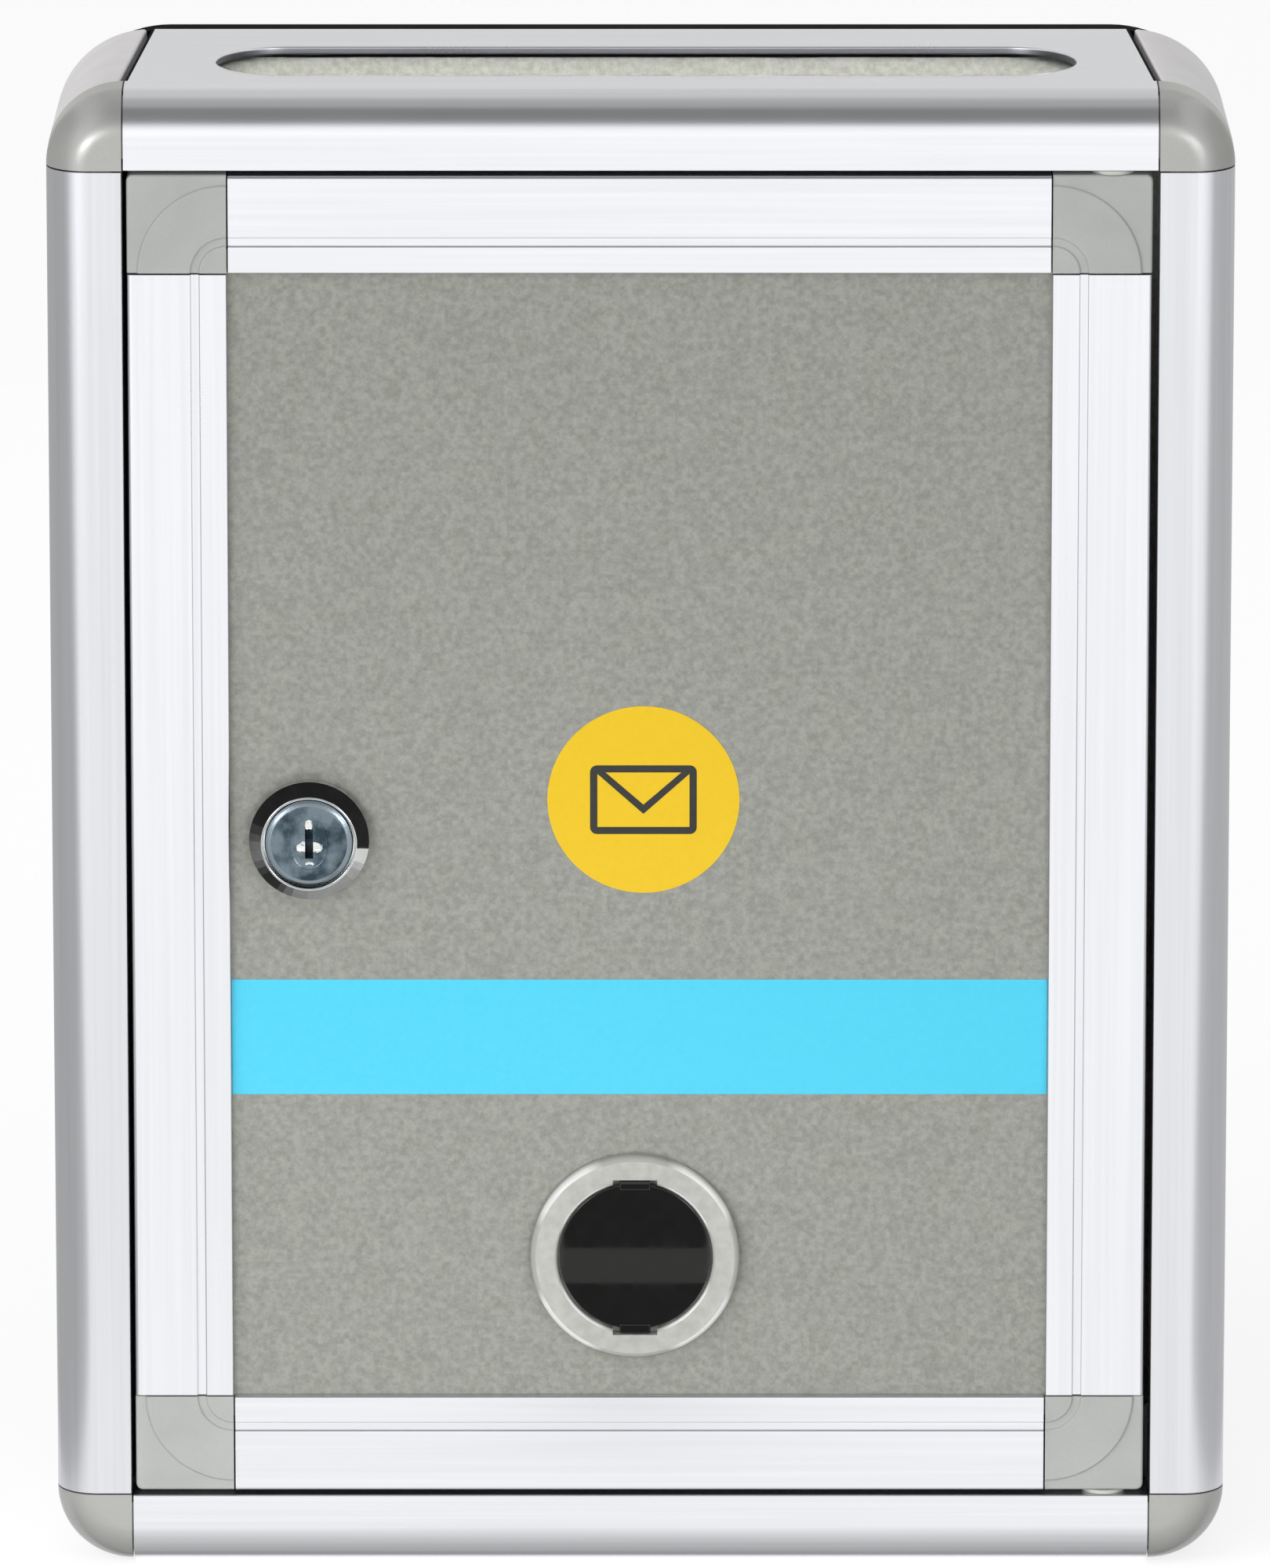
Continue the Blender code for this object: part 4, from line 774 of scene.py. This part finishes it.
def cut_slot(shape):
    """Cuts the posting slot through the top bar, and rounds its rim on both sides of the wall."""
    slot = brick((-1, SLOT_NEAR, SLOT_LEFT), (WALL + 1, SLOT_FAR, SLOT_RIGHT))
    soften(slot, SLOT_ROUND, 14, lambda a, b: abs(a.x - b.x) > 1)
    shape = combine(shape, slot)

    def on_rim(point):
        beside = SLOT_NEAR - 0.6 < point.y < SLOT_FAR + 0.6 and SLOT_LEFT - 0.5 < point.z < SLOT_RIGHT + 0.5
        return beside and min(abs(point.x), abs(point.x - WALL)) < 0.01

    soften(shape, 0.5, 4, lambda a, b: on_rim(a) and on_rim(b), 60)
    return shape


for side, quarter in SIDES.items():
    level = side in LEVEL_SIDES
    half = OPENING[0 if level else 1] - SEAM
    shape = bmesh.new()
    draw_loop(shape, *case_bar(lip=side != "right"))
    push(shape, -half, half)
    shape = combine(shape, slant_cuts(half))
    if level:
        hand = 1 if side == "top" else -1
        for start, end in ((-half - 1, LATCH_CUT - OPENING[0]), (HINGE_X - HINGE_CUT, half + 1)):
            low, high = sorted((hand * start, hand * end))
            shape = combine(shape, brick((BAR + 0.15, LIP_FRONT - 0.4, low), (LIP_END + 2, LIP_REAR + 1, high)))
        bore = disc_rod(PIN_BORE, BAR - 3, BAR + 1, "X")
        put(bore, (0, HINGE_DEPTH, hand * HINGE_X))
        shape = combine(shape, bore)
    if side == "top":
        shape = cut_slot(shape)
    paint_shade_lines(shape, half)
    put(shape, side_place(side, CASE), quarter)
    finish = level_aluminium if level else shaded_case_aluminium
    bar = make_piece(shape, f"case_profile_{side}", "case", finish, [f"rail_{side}"])
    # the black plastic finish is the painted shade on the lip's front and beside the seams
    bar.data.materials.append(black_abs)

# %% [markdown]
# ## The corner caps
#
# A grey plastic cap closes each front corner. It is the bars' own round section, turned a quarter of a
# circle about the corner of the opening, so it meets both bars in one smooth line. Two legs plug into the
# bars.

# %% Corner caps
CORNERS = {"top_left": 0, "top_right": 90, "bottom_right": 180, "bottom_left": 270}
CAP_WALL = 2.4


def corner_place(corner, halves, middle_x=0):
    """Where a corner lies, for a frame of some half width and half height."""
    x = -halves[0] if "left" in corner else halves[0]
    z = halves[1] if "top" in corner else -halves[1]
    return (middle_x + x, FRONT, MIDDLE + z)


def quarter_turn(shape):
    """Spins the drawn section a quarter round, into the corner that lies left of and above the origin."""
    turn(shape, 90, 32)
    bmesh.ops.scale(shape, vec=(-1, 1, -1), verts=shape.verts[:])
    bmesh.ops.recalc_face_normals(shape, faces=shape.faces[:])


def cap_leg(start, end, quarter):
    """A leg that follows the bar's hollow, from start to end along the bar."""
    leg = bmesh.new()
    draw_loop(leg, [(-11.6, 1.9), (-1.9, 1.9), (-1.9, 10.4), (-11.6, 10.4)], {0: (5.6, 10)})
    push(leg, start, end)
    put(leg, (0, 0, 0), quarter)
    return leg


for corner, quarter in CORNERS.items():
    shape = bmesh.new()
    outline = [(0, 0), (BAR, 0), (BAR, CAP_DEPTH), (BAR - CAP_WALL, CAP_DEPTH), (BAR - CAP_WALL, CAP_WALL)]
    draw_loop(shape, outline + [(0, CAP_WALL)], {1: (ROUND, 18), 4: (ROUND - CAP_WALL, 10)})
    quarter_turn(shape)
    add_to(shape, cap_leg(-14, 3, 0))
    add_to(shape, cap_leg(-3, 14, 90))
    put(shape, corner_place(corner, OPENING), quarter)
    make_piece(shape, f"front_cap_{corner}", "case", cap_abs, [f"corner_cap_{corner}"])

# %% [markdown]
# ## The corner strips
#
# Behind each cap a pale strip closes the corner. Its round widens towards the back, so the seams beside it
# run at a slant. It is pushed straight first, and then its rear points are drawn apart. A boss inside holds
# the screw of the back, and the long edges beside the seams are rounded until they catch a line of light.

# %% Corner strips
ARC_START, ARC_SWEEP, ARC_STEPS = 2.6, 84.8, 28
BOSS = 4.03
INSIDE = [(-0.6, 11.6), (6, 11.6), (6, 9.6), (-9.6, 9.6), (-9.6, -6), (-11.6, -6), (-11.6, 0.6)]


def draw_apart(shape):
    """Moves the rear points outwards, so that the corner widens towards the back."""
    for point in shape.verts:
        x, depth, z = point.co / MM
        if depth < 30:
            continue
        reach = math.hypot(x, z)
        if reach > 13 and x < -0.3 and z > 0.3:
            x, z = x + FLARE * (1 + x / reach), z - FLARE * (1 - z / reach)
        elif z > 9 and x > -0.7:
            x = x + FLARE
        elif x < -9 and z < 0.7:
            z = z - FLARE
        point.co = Vector((x, depth, z)) * MM
    bmesh.ops.recalc_face_normals(shape, faces=shape.faces[:])


for corner, quarter in CORNERS.items():
    shape = bmesh.new()
    steps = [math.radians(ARC_START + ARC_SWEEP * n / ARC_STEPS) for n in range(ARC_STEPS + 1)]
    arc = [(-BAR * math.cos(step), BAR * math.sin(step)) for step in steps]
    draw_loop(shape, arc + INSIDE, {ARC_STEPS + 4: (9.6, 16)})
    push(shape, -BAR_REAR, -CAP_DEPTH - SEAM)
    stand_up(shape)
    draw_apart(shape)
    soften(shape, 0.5, 4, lambda a, b: abs(a.y - b.y) > 20 and (a.z > 13.2 or a.x < -13.2))
    soften(shape, 0.12, 2, lambda a, b: abs(a.y - b.y) < 0.1)
    for radius, low, high, operation in ((4.6, 14.2, 60.1, "UNION"), (1.9, 13, 61.5, "DIFFERENCE")):
        rod = disc_rod(radius, low, high, "Y")
        put(rod, (-BOSS, 0, BOSS))
        shape = combine(shape, rod, operation)
    put(shape, corner_place(corner, OPENING), quarter)
    make_piece(shape, f"side_strip_{corner}", "case", strip_abs, [f"corner_strip_{corner}"])

# %% [markdown]
# ## The back
#
# A black frame runs round the back edge, and the grey sheet lies in its seat. Two keyholes hang the box on
# screws in a wall, and two plain holes below them fix it.

# %% The back frame
BACK = 65
SCREW_X, SCREW_Z = [half + BOSS for half in OPENING]
SCREWS = [(x, z) for x in (-SCREW_X, SCREW_X) for z in (-SCREW_Z, SCREW_Z)]


def rounded_plate(loops, front, rear):
    """The case's outline with round corners, drawn in by some insets, filled and pushed to the rear."""
    shape = bmesh.new()
    for inset, radius in loops:
        outline = rectangle(*[half - inset for half in CASE])
        draw_loop(shape, outline, {n: (radius, 20) for n in range(4)})
    push(shape, -rear, -front)
    stand_up(shape)
    return shape


def at_places(places, radius, front, rear, end_radius=None):
    """Round cutters at several places of the back."""
    cutters = bmesh.new()
    for x, z in places:
        cutter = disc_rod(radius, front, rear, "Y", 32, end_radius)
        put(cutter, (x, 0, z))
        add_to(cutters, cutter)
    return cutters


shape = rounded_plate([(0, 20.5), (5.2, 24)], 60.8, BACK)
shape = combine(shape, rounded_plate([(2.1, 14.9)], 63.2, BACK + 1))
shape = combine(shape, at_places(SCREWS, 1.9, 60, 64))
soften(shape, 0.25, 3, lambda a, b: max(abs(a.x), abs(b.x)) > 101 or max(abs(a.z), abs(b.z)) > 131, 60)
for side, quarter in SIDES.items():
    edge, half = (CASE[1], 80.4) if side in LEVEL_SIDES else (CASE[0], 110.4)
    rib = brick((1.9 - edge, 57.8, -half), (3.4 - edge, 61, half))
    put(rib, (0, 0, 0), quarter)
    add_to(shape, rib)
put(shape, (0, FRONT, MIDDLE))
make_piece(shape, "rear_frame", "case", black_abs, ["back_trim"])

# %% The back sheet
HANGER_X, HANGER_Z, HANGER_RISE = 60, 101, 8
NECK = 2.5
HANGERS = [(-HANGER_X, HANGER_Z), (HANGER_X, HANGER_Z)]
NECK_ENDS = [(x, z + HANGER_RISE) for x, z in HANGERS]
LOWER_HOLES = [(-HANGER_X, -105), (HANGER_X, -105)]

shape = rounded_plate([(2.4, 14.6)], 63.5, BACK)
shape = combine(shape, at_places(SCREWS, 1.7, 63.3, 66, 4.4))
for places, radius in ((HANGERS, 4.5), (NECK_ENDS, NECK), (LOWER_HOLES, NECK)):
    shape = combine(shape, at_places(places, radius, 63, 66))
for x, z in HANGERS:
    shape = combine(shape, brick((x - NECK, 63, z), (x + NECK, 66, z + HANGER_RISE)))
soften(shape, 0.15, 2, lambda a, b: abs(a.y - b.y) < 0.1, 60)
put(shape, (0, FRONT, MIDDLE))
make_piece(shape, "rear_sheet", "case", back_coat, ["back_panel"])

# %% [markdown]
# ## The pieces that keep their CAD shape
#
# Screws, pins, the door's sheet, nut and cam have the right form already. Each gets a copy whose loose
# triangles are merged and whose edges are broken by a tenth of a millimetre or two, as tumbling or moulding
# leaves them. The hinge bushes show in the gap beside the door, so they are drawn anew, a little rounder.

# %% Screws and pins
ZINC = (zinc_plate, "zinc_plated_steel")


def softened_copy(node, name, body, finish, slot, width):
    """A piece in a CAD node's own shape, with its edges broken by a width in mm."""
    shape = bmesh.new()
    shape.from_mesh(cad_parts[node].data)
    bmesh.ops.remove_doubles(shape, verts=shape.verts[:], dist=2 * MERGE)
    bmesh.ops.dissolve_limit(shape, angle_limit=math.radians(0.5), verts=shape.verts[:], edges=shape.edges[:])
    soften(shape, width)
    make_piece(shape, name, body, finish, [node])


for corner in CORNERS:
    softened_copy(f"back_screw_{corner}", f"rear_screw_{corner}", "case", *ZINC, 0.1)
for end in LEVEL_SIDES:
    softened_copy(f"hinge_pin_{end}", f"pivot_pin_{end}", "case", *ZINC, 0.2)

# %% Hinge bushes
FLANGE, FLANGE_HALF_WIDTH = 3.8, 0.36

for end, hand, height in (("top", 1, 256.1), ("bottom", -1, 13.9)):
    flange = disc_rod(FLANGE, -FLANGE_HALF_WIDTH, FLANGE_HALF_WIDTH)
    shape = combine(flange, disc_rod(2.3, *sorted((0, -8.8 * hand))), "UNION")
    shape = combine(shape, disc_rod(1.8, -10, 10))
    soften(shape, 0.1)
    put(shape, (HINGE_X, FRONT + HINGE_DEPTH, height))
    make_piece(shape, f"pivot_bush_{end}", "door", bush_nylon, [f"hinge_bush_{end}"])

# %% Sheet, window's back ring and lock fittings
softened_copy("door_panel", "door_sheet", "door", door_coat, "grey_door_sheet", 0.1)
softened_copy("window_retainer", "window_back_ring", "door", black_abs, "black_trim_plastic", 0.1)
softened_copy("lock_washer", "barrel_washer", "door", *ZINC, 0.15)
softened_copy("lock_nut", "barrel_nut", "door", *ZINC, 0.4)
softened_copy("lock_cam", "latch_cam", "lock", *ZINC, 0.25)
softened_copy("cam_screw", "latch_screw", "lock", *ZINC, 0.2)

# %% [markdown]
# ## The door's frame
#
# The door has its own, flatter bar: a hollow box with a channel that grips the sheet, and a fine groove in
# its face that hides how the light changes near the edge. Grey blocks join the bars. A raised quarter disc
# on each block carries the groove round the corner.

# %% Door bars
DOOR_LEFT, DOOR_RIGHT = -90.7, 90.3
DOOR_BOTTOM, DOOR_TOP = 14.3, 255.7
DOOR = ((DOOR_RIGHT - DOOR_LEFT) / 2, (DOOR_TOP - DOOR_BOTTOM) / 2)
DOOR_MIDDLE_X = (DOOR_RIGHT + DOOR_LEFT) / 2
DOOR_BAR = 17.6
DOOR_DEPTH = 10
CHANNEL, CHANNEL_FRONT, CHANNEL_REAR = 13.3, 1.5, 3.6
LIP_BACK = 5.1

for side, quarter in SIDES.items():
    level = side in LEVEL_SIDES
    half = DOOR[0 if level else 1] - DOOR_BAR - SEAM
    shape = bmesh.new()
    outline = [(0, DOOR_DEPTH), (0, 0), (11.3, 0), (11.3, 0.5), (12.7, 0.5), (12.7, 0), (DOOR_BAR, 0)]
    outline += [(DOOR_BAR, CHANNEL_FRONT), (CHANNEL, CHANNEL_FRONT), (CHANNEL, CHANNEL_REAR)]
    outline += [(DOOR_BAR, CHANNEL_REAR), (DOOR_BAR, LIP_BACK), (CHANNEL, LIP_BACK), (CHANNEL, DOOR_DEPTH)]
    rounds = {1: (0.8, 5), 2: (0.3, 3), 5: (0.3, 3), 6: (0.3, 3), 0: (0.3, 2), 13: (0.3, 2)}
    draw_loop(shape, outline, rounds)
    draw_loop(shape, [(1.5, 1.5), (11.8, 1.5), (11.8, 8.5), (1.5, 8.5)])
    push(shape, -half, half)
    put(shape, side_place(side, DOOR, DOOR_MIDDLE_X), quarter)
    finish = level_aluminium if level else upright_aluminium
    make_piece(shape, f"door_profile_{side}", "door", finish, [f"door_rail_{side}"])

# %% Door corner blocks
PAD = 15.8
PAD_RISE = 0.5


def outer_edge(a, b):
    """Says whether an edge lies in the block's front or on its two outer sides."""
    return all(point.y < PAD_RISE + 0.01 and (point.x < 1.3 or point.z > -1.3) for point in (a, b))


for corner, quarter in CORNERS.items():
    shape = bmesh.new()
    draw_loop(shape, [(0, 0), (DOOR_BAR, 0), (DOOR_BAR, -DOOR_BAR), (0, -DOOR_BAR)], {0: (1.2, 5)})
    push(shape, -DOOR_DEPTH, -PAD_RISE)
    stand_up(shape)
    soften(shape, 0.5, 3, outer_edge)
    shape = combine(shape, brick((CHANNEL, CHANNEL_FRONT, -20), (20, CHANNEL_REAR, -CHANNEL)))
    pad = bmesh.new()
    outline = [(0, 0), (4.9, 0), (4.9, 0.4), (6.3, 0.4), (6.3, 0), (PAD, 0), (PAD, 0.7), (0, 0.7)]
    draw_loop(pad, outline, {1: (0.3, 3), 4: (0.3, 3), 5: (0.45, 4)})
    quarter_turn(pad)
    put(pad, (DOOR_BAR, 0, -DOOR_BAR))
    add_to(shape, pad)
    put(shape, corner_place(corner, DOOR, DOOR_MIDDLE_X), quarter)
    make_piece(shape, f"door_block_{corner}", "door", block_abs, [f"door_corner_{corner}"])

# %% [markdown]
# ## The window
#
# A clear ring pushes through the sheet and holds a smoked disc. The ring's section is turned once round; the
# two places for the disc's tabs are cut out of it. The disc is polished nearly flat, so it mirrors the table
# in front of the box.

# %% Window
RING_BORE, RING_EDGE, RING_NECK = 13.95, 18.75, 16.2
LENS_EDGE = 13.5

shape = bmesh.new()
outline = [(RING_BORE, -0.7), (RING_EDGE, -0.7), (RING_EDGE, 1.5), (RING_NECK, 1.5), (RING_NECK, 9.3)]
draw_loop(shape, outline + [(12, 9.3), (12, 2), (RING_BORE, 2)], {0: (0.45, 4), 1: (0.9, 6)})
turn(shape)
shape = combine(shape, brick((-4, -1.7, -14.4), (4, 2, 14.4)))
put(shape, WINDOW)
make_piece(shape, "window_ring", "door", clear_acrylic, ["window_bezel"])

shape = bmesh.new()
draw_loop(shape, [(0, -0.05), (8, -0.04), (LENS_EDGE, 0), (LENS_EDGE, 1.7), (0, 1.7)], {1: (3, 6), 2: (0.15, 2)})
turn(shape)
for low, high in ((-14.2, -12.4), (12.4, 14.2)):
    tab = brick((-2.8, -0.3, low), (2.8, 1.6, high))
    soften(tab, 0.25, 3, lambda a, b: min(a.y, b.y) < 0)
    shape = combine(shape, tab, "UNION")
put(shape, WINDOW)
make_piece(shape, "window_disc", "door", smoked_acrylic, ["window_lens"])

# %% [markdown]
# ## The lock
#
# A cam lock shows a domed ring and, inside it, the face of the plug with its keyway. Ring and plug are both
# turned on a lathe and then plated, so both are turned profiles here. The keyway lies in a shallow oval dish
# that guides the key, and small cups in it are given bright chrome, a painted highlight.

# %% The lock's ring
BARREL = 9
BARREL_END = 17.5
SEAT = 8.15

shape = bmesh.new()
outline = [(SEAT, -3), (8.5, -3), (10.75, -0.65), (10.75, 1.5), (BARREL, 1.5), (BARREL, BARREL_END)]
outline += [(6.3, BARREL_END), (6.3, 0.4), (SEAT, 0.4)]
draw_loop(shape, outline, {0: (0.15, 3), 1: (0.15, 3), 2: (0.3, 4)})
turn(shape)
for low, high in ((-10, -8), (8, 10)):
    shape = combine(shape, brick((low, 1.5, -10), (high, 19, 10)))
put(shape, LOCK)
ring = make_piece(shape, "lock_ring", "door", bright_chrome, ["lock_body"])
# the ring's front land takes the turned chrome too, so the painted pale rim colour lies on it
ring.data.materials.append(turned_chrome)
for face in ring.data.polygons:
    face.material_index = 1 if face.normal.y < -0.97 and face.center.y / MM < FRONT - 2.5 else 0

# %% The lock's plug
PLUG_FRONT = -2.6
CUPS = [(0.1, -0.8, 2.5, 1.3, 0.6), (0, 3.2, 0.8, 1.2, 0.4), (0.1, -3.7, 0.9, 0.4, 0.3)]


def cup(x, z, half_width, half_height, depth):
    """A shallow oval cup in the plug's face, as a cutter."""
    ball = bmesh.new()
    bmesh.ops.create_uvsphere(ball, u_segments=64, v_segments=48, radius=MM)
    bmesh.ops.scale(ball, vec=(half_width, depth, half_height), verts=ball.verts[:])
    put(ball, (x, PLUG_FRONT, z))
    return ball


def in_cup(face_points, x, z, half_width, half_height, _):
    """Says whether all of a face's points lie in an oval cup, in the front half of the plug."""
    ovals = [((p.x - x) / half_width) ** 2 + ((p.z - z) / half_height) ** 2 for p in face_points]
    return max(ovals) < 1.05 and max(p.y for p in face_points) < PLUG_FRONT + 1


shape = bmesh.new()
outline = [(0, PLUG_FRONT), (6.7, PLUG_FRONT), (7.9, -2.22), (7.9, 0.1), (6, 0.1)]
draw_loop(shape, outline + [(6, BARREL_END), (0, BARREL_END)], {1: (0.3, 3), 2: (0.3, 4)})
turn(shape)
for oval in [(0, 0, 3.4, 4.8, 0.3)] + CUPS:
    shape = combine(shape, cup(*oval))
shape = combine(shape, brick((-3.5, 16, -3.5), (3.5, 19.7, 3.5)), "UNION")
shape = combine(shape, brick((-0.7, -4, -2.8), (0.75, 8, 2.6)))
put(shape, LOCK)
plug = make_piece(shape, "lock_plug_face", "lock", turned_chrome, ["lock_plug"])
# painted highlight: the cups' faces get bright chrome against the dark turned face
plug.data.materials.append(bright_chrome)
for face in plug.data.polygons:
    points = [plug.data.vertices[n].co / MM - LOCK for n in face.vertices]
    face.material_index = 1 if any(in_cup(points, *oval) for oval in CUPS) else 0
print("bright faces in the plug's cups:", sum(face.material_index for face in plug.data.polygons))

# %% [markdown]
# ## Stickers
#
# A cyan band runs across the door and a round yellow sticker sits above it, with a plain envelope sign on
# it. They are thin films, so each is a flat outline with a tenth of a millimetre of thickness that lies on
# the sheet.

# %% The band and the round sticker
SHEET_FRONT = -29.2
FILM = 0.1
GLUE = 0.005
DISC = Vector((0.5, SHEET_FRONT, 142))

band = brick((-73, SHEET_FRONT - FILM, 87.7), (72.6, SHEET_FRONT - GLUE, 108.9))
soften(band, 0.04, 1)
make_piece(band, "cyan_band", "door", blue_film)

spot = disc_rod(17.1, GLUE, FILM, "Y", 96)
bmesh.ops.scale(spot, vec=(1, -1, 1), verts=spot.verts[:])
bmesh.ops.recalc_face_normals(spot, faces=spot.faces[:])
put(spot, DISC)
make_piece(spot, "yellow_disc", "door", yellow_film)

# %% The envelope sign
WIDTH, HEIGHT, LINE = 9.5, 6.3, 1.3

sign = bmesh.new()
draw_loop(sign, rectangle(WIDTH, HEIGHT), {n: (1.2, 4) for n in range(4)})
draw_loop(sign, rectangle(WIDTH - LINE, HEIGHT - LINE))
push(sign, FILM, FILM + 0.04)
flap = bmesh.new()
left_end = [(0.9 - WIDTH, HEIGHT - 1.2), (1.5 - WIDTH, HEIGHT - 0.2)]
right_end = [(WIDTH - 1.5, HEIGHT - 0.2), (WIDTH - 0.9, HEIGHT - 1.2)]
draw_loop(flap, left_end + [(0, -0.9)] + right_end + [(0, -2.6)])
push(flap, FILM, FILM + 0.045)
add_to(sign, flap)
stand_up(sign)
put(sign, DISC)
make_piece(sign, "envelope_sign", "door", dark_film)
